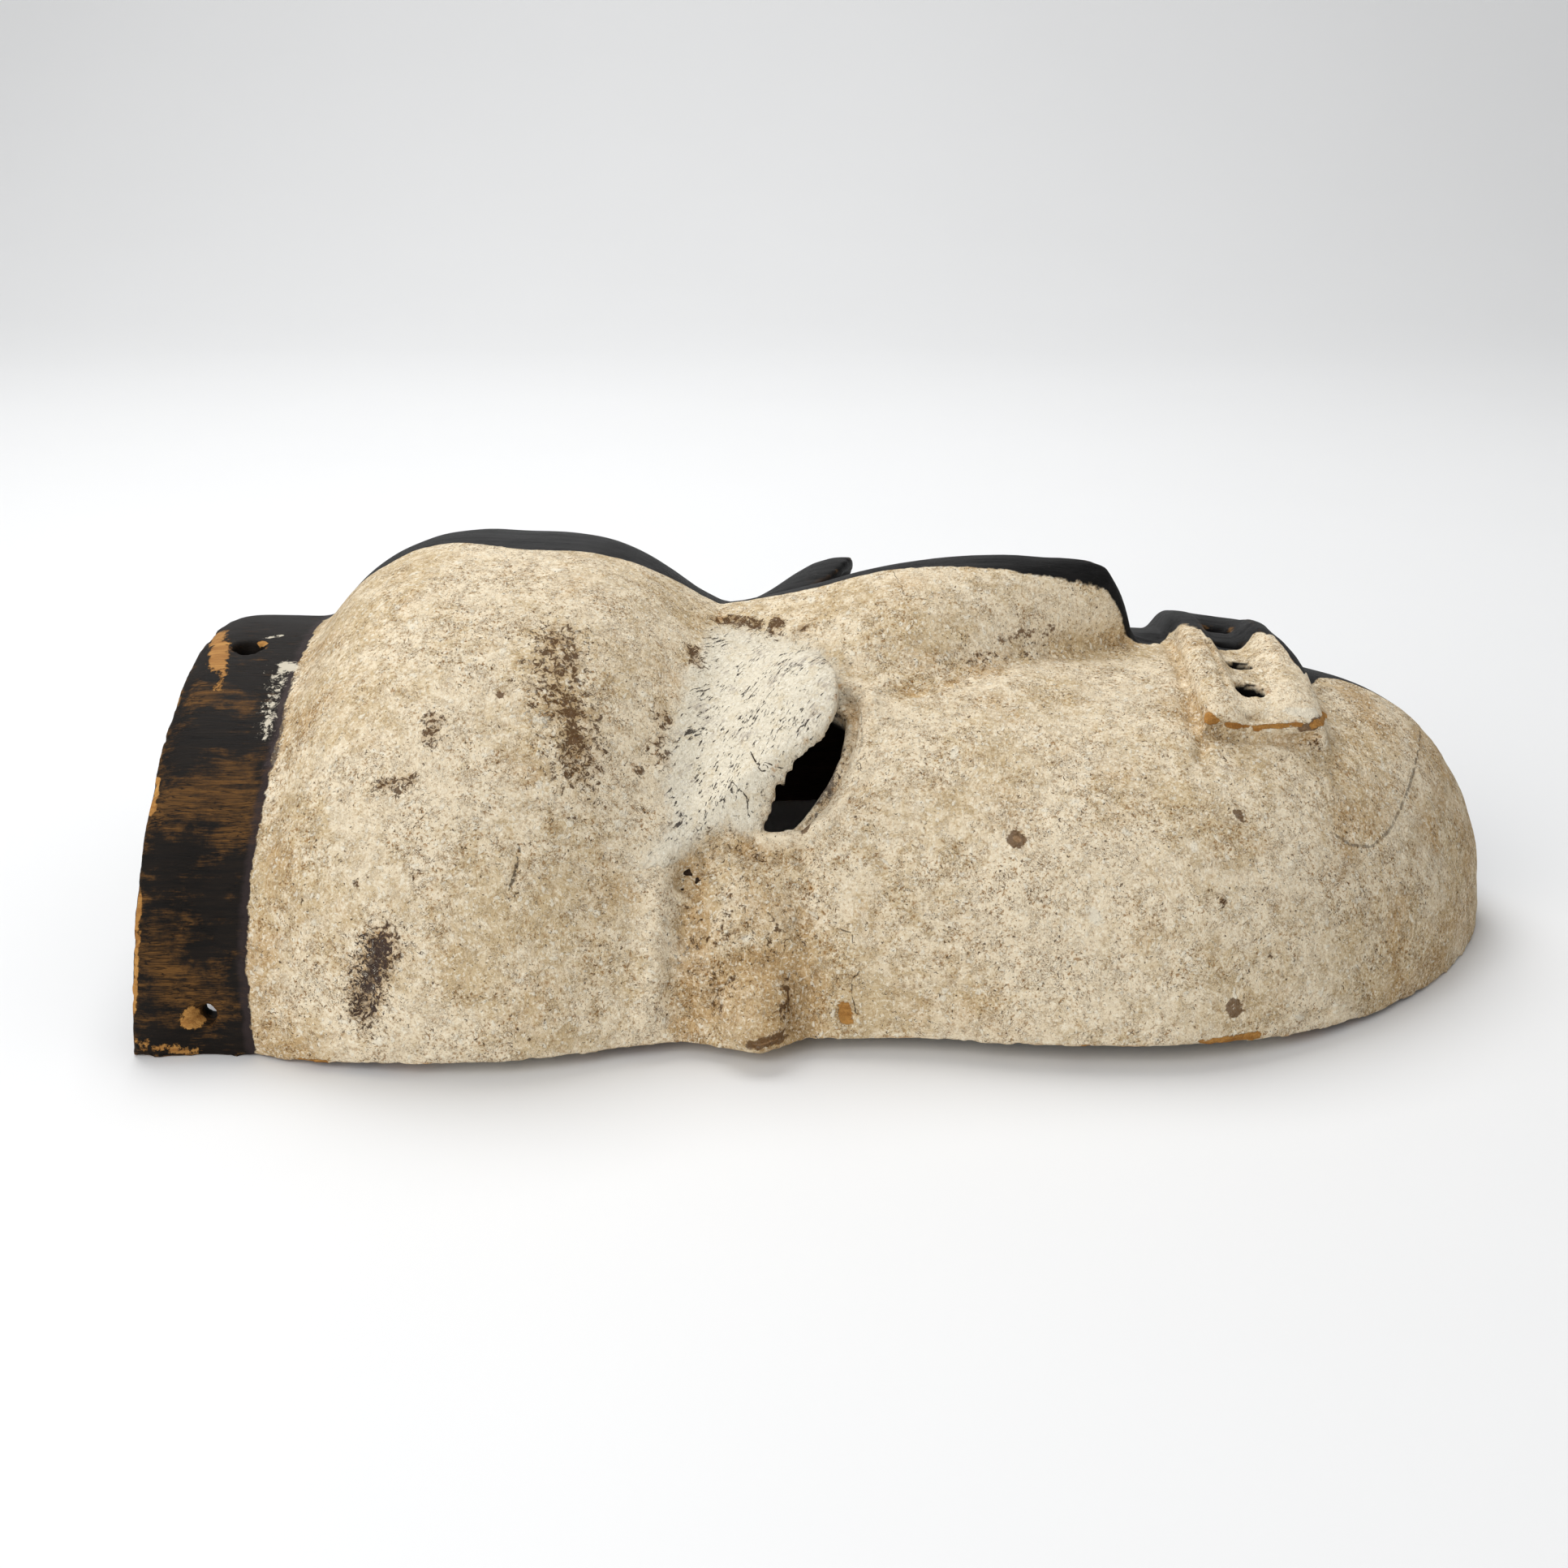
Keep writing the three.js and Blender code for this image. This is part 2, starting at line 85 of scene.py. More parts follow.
SHARP = math.radians(38)  # an edge of the block that turns more than this stays crisp
MOUTH_ZONE = (74, 108, 58)  # first and last place along X, and lowest height, of the mouth frame
# Boxes in millimetres round the slots of the mouth and the cord holes of the band
PIERCED = [((86.3, -35.6, 40), (95.3, 22, 95)), ((-158, -91, 0), (-132, 91, 60))]
# Boxes in millimetres round the finer carving, where the facets are evened out over a shorter reach
FINE_CARVING = [
    ((73, -44, 45), (110, 40, 90)), ((-46, 15, 42), (8, 72, 90)), ((-46, -72, 42), (8, -15, 90)),
    ((-44, 60, 0), (3, 95, 36)), ((-44, -95, 0), (3, -60, 36)),
]


def screen(red, green, blue):
    """A colour as a screen shows it, from 0 to 255, turned into the linear values that shaders take."""
    shown = (red / 255, green / 255, blue / 255)
    return tuple((v / 12.92 if v <= 0.04045 else ((v + 0.055) / 1.055) ** 2.4) for v in shown)


# Where the kaolin ends and the charcoal begins: the place across Y for places along X, in millimetres
PAINT_EDGE = [
    (-160, 6), (-131, 14), (-125, 8), (-110, 0), (-104, 3), (-95, 1.5), (-77, -3.5), (-57, -2.5), (-47, 1),
    (-37, 6), (-30, 5), (-21, 4), (-2.5, 1.5), (9, 0.5), (17, -1.5), (31, -4), (44, -4), (55, -3), (67, -1),
    (72, -0.5), (76, 4), (78.4, 8), (79.2, 6), (84, 0), (85, -7), (89, -3), (95, 0), (98, 3), (102, -1.5),
    (104, -14), (106, -18), (109, -10), (114, 0), (120, 3), (130, 2), (160, 7),
]
# Where the dark band ends and the painted forehead begins: the place along X for heights above the ground
BAND_EDGE = [(0, -130.5), (20, -131.5), (35, -131), (50, -129.5), (60, -128.5), (68, -128.5), (80, -127)]

Mark = namedtuple("Mark", "kind points half_width strength")
# Marks of wear: the kind, the points in the photograph's pixels, the half width in millimetres, the strength
MARKS = {
    "dirt down the middle of the forehead": Mark(
        "dirt", [(690, 790), (686, 850), (708, 890), (714, 945)], 7.5, 0.62
    ),
    "black crumbs in that dirt": Mark("dirt", [(694, 862), (704, 880), (708, 925)], 2.0, 0.9),
    "dirt above the eye": Mark("dirt", [(812, 878), (822, 890), (808, 915), (820, 940)], 2.2, 0.6),
    "crumb above the eye": Mark("dirt", [(786, 949)], 1.3, 0.9),
    "stain left of the dirt": Mark("dirt", [(533, 888), (529, 905)], 2.6, 0.7),
    "stain lower down": Mark("dirt", [(470, 967), (504, 963)], 2.4, 0.62),
    "speck on the brow": Mark("rust", [(616, 856)], 0.9, 1.0),
    "speck on the temple": Mark("dirt", [(595, 1028)], 0.9, 1.0),
    "speck below": Mark("dirt", [(512, 1080)], 0.7, 1.0),
    "speck beside the band": Mark("dirt", [(439, 1090)], 0.8, 1.0),
    "scar on the temple": Mark("soot_and_shade", [(466, 1166), (460, 1190), (452, 1215), (448, 1236)], 3.4, 0.8),
    "white crumbs in the scar": Mark("chalk", [(462, 1172), (455, 1205), (449, 1228)], 3.2, 0.42),
    "brown rim of the scar": Mark("dirt", [(472, 1160), (464, 1195), (446, 1240)], 4.6, 0.8),
    "rot at the root of the lid": Mark("dirt", [(884, 765), (905, 762), (934, 770)], 2.0, 0.85),
    "rot beside it": Mark("dirt", [(958, 760), (955, 778)], 2.1, 0.72),
    "last of the rot": Mark("dirt", [(986, 773), (991, 774)], 1.3, 0.9),
    "rot at the corner of the lid": Mark("dirt", [(853, 798), (858, 815)], 2.4, 0.75),
    "stain on the nose": Mark("rust", [(1232, 785), (1265, 780), (1300, 776)], 2.6, 0.42),
    "specks in the crease of the nose": Mark("dirt", [(1195, 812), (1245, 808), (1290, 800)], 1.6, 0.45),
    "pits on the ear": Mark("dirt", [(890, 1205), (900, 1212)], 3.2, 0.45),
    "pits above the ear": Mark("dirt", [(862, 1150), (900, 1140), (950, 1150)], 7.0, 0.34),
    "dirt at the ear's ring": Mark("dirt", [(972, 1208), (978, 1226), (970, 1244)], 2.2, 0.7),
    "dirt at the ear's other side": Mark("dirt", [(878, 1206), (884, 1240)], 1.8, 0.6),
    "dirt left of the ear": Mark("dirt", [(838, 1178), (850, 1160)], 4.5, 0.36),
    # Painted shade in the valley under the brow, laid on as a dirt mark
    "painted shade under the brow": Mark("dirt", [(868, 1050), (900, 1042), (930, 1058)], 5.0, 0.3),
    "red stain under the eye": Mark("rust", [(1006, 985), (998, 1005), (990, 1024)], 1.5, 0.62),
    "round stain on the cheek": Mark("rust", [(1252, 1033), (1255, 1034)], 1.9, 1.0),
    "stain beside the mouth": Mark("rust", [(1524, 1000), (1530, 1007)], 1.0, 0.85),
    "stain at the jaw": Mark("rust", [(1521, 1243)], 2.1, 0.9),
    "white middle of that stain": Mark("chalk", [(1521, 1243)], 0.7, 0.9),
    "speck on the jaw": Mark("dirt", [(1508, 1111)], 0.8, 1.0),
    "second speck on the jaw": Mark("dirt", [(1565, 1178)], 0.7, 1.0),
    "dirt beside the ear": Mark("ochre", [(1040, 1243), (1043, 1256)], 1.8, 0.75),
    "shade on the ear": Mark("rust", [(868, 1182), (886, 1160), (908, 1150)], 2.2, 0.4),
    "shade right of the ear": Mark("rust", [(975, 1225), (968, 1245)], 2.0, 0.4),
    "chip at the foot of the ear": Mark("rust", [(930, 1290), (950, 1285), (972, 1278)], 1.7, 0.95),
    "bare wood along the cheek's rim": Mark("ochre", [(1235, 1290), (1285, 1291), (1340, 1291)], 0.9, 0.85),
    "bare wood along the jaw's rim": Mark("ochre", [(1480, 1287), (1515, 1283), (1550, 1276)], 1.0, 0.85),
    "bare wood under the forehead": Mark("ochre", [(370, 1309), (400, 1311), (432, 1313)], 0.9, 0.85),
    "bare front edge of the mouth": Mark(
        "ochre", [(1485, 880), (1492, 886), (1508, 893), (1528, 897), (1550, 899)], 0.75, 1.0
    ),
    "bare thin edge of the mouth": Mark("ochre", [(1550, 896), (1580, 894), (1604, 893)], 0.55, 0.9),
    "bare left end of that edge": Mark("ochre", [(1486, 882), (1496, 889)], 1.2, 0.95),
    "bare corner of the mouth": Mark("ochre", [(1618, 893), (1630, 888), (1631, 880)], 0.8, 0.95),
    "brown corner of the mouth": Mark("rust", [(1604, 898), (1616, 896), (1626, 884)], 1.1, 0.9),
    "chalk on the mouth's corner": Mark("chalk", [(1590, 876), (1606, 878), (1620, 878)], 1.6, 1.0),
    "dirt under the mouth's corner": Mark("dirt", [(1612, 908), (1622, 914)], 1.1, 0.9),
    "chalk on the brow": Mark("chalk", [(648, 884), (670, 889)], 2.2, 0.6),
    "chalk on the cheek": Mark("chalk", [(1346, 1125), (1350, 1135)], 1.6, 0.8),
    "chalk near the mouth": Mark("chalk", [(1350, 978), (1297, 997)], 1.0, 0.6),
    "chalk on the chin": Mark("chalk", [(1700, 930), (1706, 948)], 1.0, 0.7),
    "scraped patch before the ear": Mark("chalk", [(812, 1130), (828, 1150), (838, 1175)], 3.6, 0.5),
    "chalk along the band": Mark("chalk", [(347, 828), (338, 850), (331, 880), (329, 905)], 2.6, 0.55),
    "chalk in the corner of the band": Mark("chalk", [(352, 820), (360, 825)], 2.0, 0.9),
    "soot beside the chalk": Mark("soot_and_shade", [(362, 838), (348, 870), (345, 905), (335, 945)], 1.6, 0.8),
    "streak of chalk by the hole": Mark("chalk", [(332, 786), (348, 784)], 0.8, 0.85),
    "bare wood left of the hole": Mark("ochre", [(270, 782), (272, 800), (270, 822)], 3.0, 0.62),
    "bare wood below the hole": Mark("ochre", [(276, 828), (268, 850)], 1.6, 0.5),
    "chip by the hole": Mark("ochre", [(320, 791), (325, 792)], 0.9, 1.0),
    "rubbed wood on the band": Mark("rub", [(225, 985), (255, 975), (300, 965), (295, 1000)], 7.0, 0.62),
    "rubbed wood above": Mark("rub", [(240, 858), (275, 856), (300, 868)], 3.0, 0.6),
    "rubbed wood lower on the band": Mark("rub", [(190, 1180), (215, 1215), (255, 1230)], 8.0, 0.5),
    "rubbed wood at the crown edge": Mark("ochre", [(191, 962), (188, 985), (186, 1000)], 1.3, 0.75),
    "rubbed wood lower at the crown edge": Mark("ochre", [(172, 1100), (168, 1180), (164, 1250)], 1.0, 0.6),
    "bare wood round the lower hole": Mark("ochre", [(234, 1253)], 2.9, 0.9),
    "scratches at the foot of the band": Mark("ochre", [(170, 1285), (200, 1290), (240, 1296)], 2.0, 0.5),
}

Line = namedtuple("Line", "points half_width darkness")
# Fine lines: the points in the photograph's pixels, the half width in millimetres, the darkness
LINES = {
    "drawn arc on the chin": Line(
        [(1749, 902), (1744, 940), (1737, 969), (1726, 996), (1711, 1025), (1690, 1044), (1664, 1041),
         (1642, 1027)],
        0.42, 0.55,
    ),
    "dark line on the temple": Line([(640, 1048), (636, 1070), (630, 1092)], 0.45, 0.8),
    "crack beside the ear": Line([(1058, 1200), (1049, 1206), (1050, 1226), (1055, 1247)], 0.14, 0.8),
    "crack above it": Line([(1034, 1146), (1050, 1149), (1051, 1165)], 0.12, 0.7),
    "crack over the ear": Line([(955, 1082), (968, 1070), (983, 1068)], 0.16, 0.9),
    "crack on the lid": Line([(926, 930), (934, 942), (938, 951), (946, 948)], 0.22, 1.0),
    "crack low on the lid": Line([(901, 964), (912, 974), (920, 982), (922, 1002)], 0.16, 0.95),
    "crack at the lid's edge": Line([(947, 941), (956, 945), (963, 947)], 0.16, 0.95),
    "hairline on the nose": Line([(1100, 705), (1115, 735), (1145, 740)], 0.12, 0.6),
    "line round the eye socket": Line([(1052, 862), (1061, 885), (1062, 915), (1055, 945)], 0.3, 0.35),
    "crack by the eye socket": Line([(1066, 933), (1062, 944), (1061, 950)], 0.16, 0.95),
}

Groove = namedtuple("Groove", "points half_width depth")
# Grooves, and ridges where the depth is below 0: the points in the photograph's pixels, the half width in
# millimetres, the depth in millimetres
GROOVES = {
    "groove at the foot of the upper lip": Groove(
        [(1440, 790), (1458, 832), (1466, 860), (1474, 890), (1481, 915), (1482, 934)], 1.8, 1.4
    ),
    "crease inside the upper lip": Groove([(1490, 790), (1503, 822), (1514, 846)], 0.8, 0.9),
    "foot of the mouth's front edge": Groove(
        [(1492, 900), (1520, 908), (1560, 912), (1600, 912), (1620, 908)], 1.2, 1.4
    ),
    "valley under the lid": Groove(
        [(838, 1085), (868, 1054), (905, 1042), (945, 1050), (985, 1052)], 3.3, 2.5
    ),
    "ridge round the opening": Groove(
        [(950, 1036), (992, 1034), (1036, 1000), (1064, 950), (1078, 897), (1070, 852)], 1.8, -1.6
    ),
    "flared edge of the opening": Groove(
        [(1050, 868), (1046, 905), (1034, 945), (1012, 985), (985, 1014)], 1.9, 2.4
    ),
    "dip outside that ridge": Groove(
        [(985, 1048), (1032, 1014), (1064, 957), (1077, 900), (1066, 850)], 1.8, 0.9
    ),
    "hollow right of the ear": Groove([(985, 1100), (1000, 1150), (1005, 1210), (992, 1262)], 5.0, 2.5),
    "hollow left of the ear": Groove([(862, 1085), (850, 1140), (846, 1200), (850, 1262)], 5.0, 2.4),
    "ridge of the temple": Groove([(820, 1075), (812, 1130), (806, 1190), (798, 1250)], 3.6, -1.5),
    "crease beside the nose": Groove(
        [(1120, 850), (1180, 835), (1240, 816), (1300, 803), (1370, 792), (1430, 785)], 4.0, 1.1
    ),
    "gouge of the scar": Groove([(466, 1165), (458, 1195), (448, 1236)], 2.6, 0.8),
    "dent in the scar": Groove([(447, 1232), (443, 1240)], 1.8, 0.5),
    "pit at the root of the lid": Groove([(886, 765), (905, 763)], 1.2, 0.6),
    "pit beside it": Groove([(926, 768), (930, 770)], 1.0, 0.7),
    "pit at the corner of the lid": Groove([(853, 797), (857, 812)], 1.4, 0.6),
    "crack on the lid": Groove([(926, 930), (934, 942), (938, 951)], 0.7, 0.35),
    "dark line on the temple": Groove([(640, 1048), (630, 1092)], 0.9, 0.4),
    "crumbled dirt on the forehead": Groove([(694, 862), (704, 880), (708, 925)], 2.4, 0.35),
    "chip at the foot of the ear": Groove([(930, 1290), (972, 1279)], 1.6, 0.6),
    "chip under the mouth's corner": Groove([(1612, 908), (1622, 913)], 1.0, 0.8),
    "worn front edge of the mouth": Groove([(1498, 890), (1524, 896), (1550, 900)], 1.0, 0.5),
    "chip on the chin's rim": Groove([(1612, 1250), (1638, 1247)], 1.2, 0.6),
    "second chip on the chin's rim": Groove([(1682, 1229), (1690, 1226)], 1.2, 0.6),
    "third chip on the chin's rim": Groove([(1720, 1212), (1728, 1206)], 1.2, 0.6),
}

# Outline of the pale lid's crust in the photograph's pixels
LID_OUTLINE = [
    (837, 863), (847, 826), (863, 800), (874, 776), (900, 768), (937, 779), (979, 787), (1016, 803),
    (1030, 826), (1036, 858), (1028, 886), (1011, 912), (992, 935), (963, 958), (946, 971), (943, 995),
    (940, 1021), (916, 1031), (895, 1018), (868, 1029), (853, 1042), (832, 1063), (805, 1089), (795, 1068),
    (810, 1037), (826, 1016), (818, 989), (816, 963), (826, 931), (824, 905),
]
SIDE_HOLE = (-142, 9.3)  # place along X and height of the cord holes at both ends of the band
# The pale side's eye opening: its middle in millimetres, the way out of the wood there, and how far round the
# middle the painted shade on its slope and on its walls reaches
EYE = {"middle": (-11.4, -48, 59.8), "out": (0.0, -0.597, 0.802), "reach": 24}


class MaskSizes(bpy.types.PropertyGroup):
    """Sizes of the carved and worn surface"""

    grain: bpy.props.FloatProperty(
        name="Surface step", description="Distance between the points of the worked surface",
        default=0.0008, unit="LENGTH",
    )
    melt: bpy.props.FloatProperty(
        name="Melted facets", description="How far the flat facets of the block are evened out",
        default=0.004, unit="LENGTH",
    )
    fine_melt: bpy.props.FloatProperty(
        name="Melted fine carving", description="How far facets are evened out at the mouth, lids and ears",
        default=0.0014, unit="LENGTH",
    )
    round: bpy.props.FloatProperty(
        name="Worn edges", description="How far the crisp edges are worn round", default=0.0008,
        unit="LENGTH",
    )
    crisp: bpy.props.FloatProperty(
        name="Crisp edges", description="How far from an edge the carving stays crisp", default=0.0045,
        unit="LENGTH",
    )
    waves: bpy.props.FloatProperty(
        name="Knife waves", description="Height of the broad waves left by the carving knife",
        default=0.00022, unit="LENGTH",
    )
    crust: bpy.props.FloatProperty(
        name="Crust", description="Height of the lumps in the kaolin", default=0.0001, unit="LENGTH"
    )
    gouge: bpy.props.FloatProperty(
        name="Gouge marks", description="Depth of the gouge marks in the hollow", default=0.0007,
        unit="LENGTH",
    )
    chips: bpy.props.FloatProperty(
        name="Chips", description="Depth of the chips along the edges", default=0.0005, unit="LENGTH"
    )
    triangles: bpy.props.IntProperty(
        name="Triangles", description="Triangles of the finished piece", default=190000
    )


class MaskColours(bpy.types.PropertyGroup):
    """Colours of the paint and the wood"""

    kaolin: bpy.props.FloatVectorProperty(
        name="Kaolin", description="The pale half", subtype="COLOR", size=3, default=screen(235, 219, 190)
    )
    kaolin_dull: bpy.props.FloatVectorProperty(
        name="Dull kaolin", description="Rubbed and soiled kaolin", subtype="COLOR", size=3,
        default=screen(208, 186, 148),
    )
    chalk: bpy.props.FloatVectorProperty(
        name="Chalk", description="Fresh white kaolin on the lid", subtype="COLOR", size=3,
        default=screen(234, 225, 204),
    )
    dirt: bpy.props.FloatVectorProperty(
        name="Dirt", description="Dirt in the pits", subtype="COLOR", size=3, default=screen(66, 42, 20)
    )
    rust: bpy.props.FloatVectorProperty(
        name="Stain", description="Red brown stains", subtype="COLOR", size=3, default=screen(118, 82, 48)
    )
    charcoal: bpy.props.FloatVectorProperty(
        name="Charcoal", description="The dark half", subtype="COLOR", size=3, default=screen(25, 24, 24)
    )
    # Colour of the soot marks, and of the painted shade on the slope into the pale eye opening
    soot_and_shade: bpy.props.FloatVectorProperty(
        name="Soot", description="Smeared soot on the kaolin", subtype="COLOR", size=3,
        default=screen(82, 70, 68),
    )
    band: bpy.props.FloatVectorProperty(
        name="Band", description="The stained band", subtype="COLOR", size=3, default=screen(28, 20, 13)
    )
    rubbed: bpy.props.FloatVectorProperty(
        name="Rubbed band", description="Brown wood where the band is rubbed", subtype="COLOR", size=3,
        default=screen(122, 84, 40),
    )
    wood: bpy.props.FloatVectorProperty(
        name="Bare wood", description="Bare ochre wood in chips and on edges", subtype="COLOR", size=3,
        default=screen(196, 146, 80),
    )
    hollow: bpy.props.FloatVectorProperty(
        name="Hollow", description="The darkened wood behind the face", subtype="COLOR", size=3,
        default=screen(60, 44, 31),
    )


class StageSettings(bpy.types.PropertyGroup):
    """The floor and the studio light"""

    floor: bpy.props.FloatVectorProperty(
        name="Floor", description="Pale paper of the floor and the backdrop", subtype="COLOR", size=3,
        default=(0.87, 0.875, 0.88),
    )
    sky: bpy.props.FloatProperty(
        name="Room light", description="Even light of the white room", default=0.4, min=0
    )
    lamp: bpy.props.FloatProperty(
        name="Lamp behind", description="Power of the soft lamp behind the mask", default=8, min=0,
        unit="POWER",
    )
    lamp_size: bpy.props.FloatProperty(
        name="Size of lamp behind", description="Width of the soft lamp behind the mask", default=0.7,
        unit="LENGTH",
    )
    fill: bpy.props.FloatProperty(
        name="Lamp beside camera", description="Power of the soft lamp beside the camera", default=6, min=0,
        unit="POWER",
    )
    fill_size: bpy.props.FloatProperty(
        name="Size of lamp beside camera", description="Width of the soft lamp beside the camera",
        default=0.8, unit="LENGTH",
    )


def points_of(mesh):
    """The mesh's points in millimetres."""
    flat = np.empty(len(mesh.vertices) * 3, np.float32)
    mesh.vertices.foreach_get("co", flat)
    return flat.reshape(-1, 3).astype(float) * MM


def put_points(mesh, points):
    """Moves the mesh's points to places in millimetres."""
    mesh.vertices.foreach_set("co", (points / MM).astype(np.float32).ravel())
    mesh.update()


def outward_of(mesh):
    """Unit directions that point out of the wood at every point."""
    flat = np.empty(len(mesh.vertices) * 3, np.float32)
    mesh.vertex_normals.foreach_get("vector", flat)
    return flat.reshape(-1, 3).astype(float)


def links_of(mesh):
    """For every point, where its neighbours begin in one long list, that list, and how many there are."""
    flat = np.empty(len(mesh.edges) * 2, np.int32)
    mesh.edges.foreach_get("vertices", flat)
    pairs = flat.reshape(-1, 2)
    both = np.concatenate([pairs, pairs[:, ::-1]])
    both = both[np.argsort(both[:, 0], kind="stable")]
    count = np.bincount(both[:, 0], minlength=len(mesh.vertices))
    start = np.concatenate([[0], np.cumsum(count)[:-1]])
    return start, both[:, 1], count


def averaged(values, links, rounds, pull=0.8):
    """Values evened out with their neighbours' again and again."""
    start, near, count = links
    for _ in range(rounds):
        mean = np.add.reduceat(values[near], start, axis=0) / count[:, None]
        values = values + pull * (mean - values)
    return values


def rounds_for(reach, step, pull=0.8):
    """How many rounds of averaging spread a value over a reach, both in millimetres."""
    return max(1, round(reach**2 / (pull * step**2 / 2)))


def noise(points, size, seed=0):
    """Smooth random heights from -1 to 1, with about one hill in each size, in millimetres."""
    grid = points / size
    cell = np.floor(grid).astype(np.int64)
    part = grid - cell
    part = part * part * (3 - 2 * part)
    total = np.zeros(len(points))
    for corner in product((0, 1), repeat=3):
        share = np.prod(np.where(corner, part, 1 - part), axis=1)
        total += share * scattered(cell + corner, seed)
    return total


def scattered(cell, seed):
    """A random number from -1 to 1 that each whole-number cell always gets."""
    key = (cell[:, 0] * 73856093) ^ (cell[:, 1] * 19349663) ^ (cell[:, 2] * 83492791) ^ (seed * 2654435761)
    key = (key ^ (key >> 13)) * 1274126177 & 0x7FFFFFFF
    key = (key ^ (key >> 15)) * 668265263 & 0x7FFFFFFF
    return key / 0x3FFFFFFF - 1


def rough(points, size, seed=0, layers=3):
    """Noise in layers, each half as wide and half as high as the one before."""
    return sum(noise(points, size / 2**k, seed + k) / 2**k for k in range(layers))


def scallops(points, size, seed=0):
    """How far a point is from the nearest of many scattered cuts: 0 in its middle, about 1 between cuts."""
    grid = points / size
    cell = np.floor(grid).astype(np.int64)
    least = np.full(len(points), 9.0)
    for step in product((-1, 0, 1), repeat=3):
        near = cell + step
        middle = near + 0.5 + 0.42 * np.stack([scattered(near, seed + k) for k in range(3)], axis=1)
        least = np.minimum(least, np.linalg.norm(grid - middle, axis=1))
    return least


def ease(value, low, high):
    """0 below low, 1 above high and a soft step between them."""
    part = np.clip((value - low) / (high - low), 0, 1)
    return part * part * (3 - 2 * part)


def along(places, table):
    """The second numbers of a table of pairs, read off at places between the first ones."""
    return np.interp(places, [row[0] for row in table], [row[1] for row in table])


def camera_place():
    """Where the camera stands, in millimetres."""
    back = Vector((0, -math.cos(CAMERA_RISE), math.sin(CAMERA_RISE)))
    return CAMERA_AIM + back * CAMERA_DISTANCE


class Block:
    """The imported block: its sharp edges, the faces of its hollow, and what a pixel shows of it."""

    def __init__(self, mesh):
        self.mesh = bmesh.new()
        self.mesh.from_mesh(mesh)
        bmesh.ops.scale(self.mesh, vec=(MM, MM, MM), verts=self.mesh.verts)
        self.mesh.faces.ensure_lookup_table()
        self.tree = BVHTree.FromBMesh(self.mesh)
        self.hollow = self.faces_of_hollow()
        self.arrises = self.sharp_points(lambda edge: edge.calc_face_angle_signed(0) > SHARP)
        self.corners = self.sharp_points(self.is_corner)

    def is_corner(self, edge):
        """True for an edge that stays crisp: every sharp arris, and the sharp corners round the mouth."""
        turn = edge.calc_face_angle_signed(0)
        low, high, floor = MOUTH_ZONE
        at_mouth = all(low < v.co.x < high and v.co.z > floor for v in edge.verts)
        return turn > SHARP or (at_mouth and turn < -SHARP)

    def faces_of_hollow(self):
        """Faces that are reached from the middle of the hollow's ceiling without crossing a sharp edge."""
        first = self.tree.ray_cast(Vector((0, 0, -5)), Vector((0, 0, 1)))[2]
        found, waiting = {first}, [self.mesh.faces[first]]
        while waiting:
            for edge in waiting.pop().edges:
                if edge.calc_face_angle(0) < SHARP:
                    for face in edge.link_faces:
                        if face.index not in found:
                            found.add(face.index)
                            waiting.append(face)
        return found

    def sharp_points(self, wanted):
        """Points every 0.7 mm along the wanted edges, ready to be searched."""
        points = []
        for edge in self.mesh.edges:
            if len(edge.link_faces) == 2 and wanted(edge):
                a, b = (v.co for v in edge.verts)
                count = max(1, math.ceil((b - a).length / 0.7))
                points += [a.lerp(b, k / count) for k in range(count + 1)]
        tree = KDTree(len(points))
        for k, point in enumerate(points):
            tree.insert(point, k)
        tree.balance()
        return tree

    def seen_at(self, pixel):
        """The point of the block that the photograph shows at a pixel."""
        middle = PHOTO_SIDE / 2
        ahead = Vector((0, math.cos(CAMERA_RISE), -math.sin(CAMERA_RISE)))
        above = Vector((0, math.sin(CAMERA_RISE), math.cos(CAMERA_RISE)))
        ray = ahead * FOCAL_PIXELS + Vector((pixel[0] - middle, 0, 0)) - above * (pixel[1] - middle)
        point = self.tree.ray_cast(camera_place(), ray.normalized())[0]
        if point is None:
            point = self.tree.find_nearest(camera_place() + ray.normalized() * CAMERA_DISTANCE)[0]
        return np.array(point)

    def route_of(self, mark):
        """The points of the block that the photograph shows along a mark."""
        return [self.seen_at(pixel) for pixel in mark.points]


def pixels_of(points):
    """Where the photograph shows each point, in its pixels."""
    middle = PHOTO_SIDE / 2
    away = points - np.array(camera_place())
    ahead = np.array((0, math.cos(CAMERA_RISE), -math.sin(CAMERA_RISE)))
    above = np.array((0, math.sin(CAMERA_RISE), math.cos(CAMERA_RISE)))
    scale = FOCAL_PIXELS / (away @ ahead)
    return np.stack([middle + away[:, 0] * scale, middle - (away @ above) * scale], axis=1)


def distance_to(points, route):
    """Distance of each point from a broken line."""
    if len(route) == 1:
        return np.linalg.norm(points - route[0], axis=1)
    least = np.full(len(points), 1e9)
    for a, b in zip(route, route[1:]):
        span = b - a
        share = np.clip((points - a) @ span / max(span @ span, 1e-9), 0, 1)
        least = np.minimum(least, np.linalg.norm(points - a - share[:, None] * span, axis=1))
    return least


def gap_to(points, tree, limit=12):
    """Distance of each point from the nearest point in a search tree, in millimetres."""
    return np.array([min(tree.find(p)[2], limit) for p in points])


def only_active(piece):
    """Selects one piece and nothing else."""
    bpy.ops.object.select_all(action="DESELECT")
    piece.select_set(True)
    bpy.context.view_layer.objects.active = piece


def finish_modifier(piece, kind, **settings):
    """Adds a modifier to the piece and applies it at once."""
    only_active(piece)
    bpy.ops.object.modifier_add(type=kind)
    modifier = piece.modifiers[-1]
    for name, value in settings.items():
        setattr(modifier, name, value)
    bpy.ops.object.modifier_apply(modifier=modifier.name)


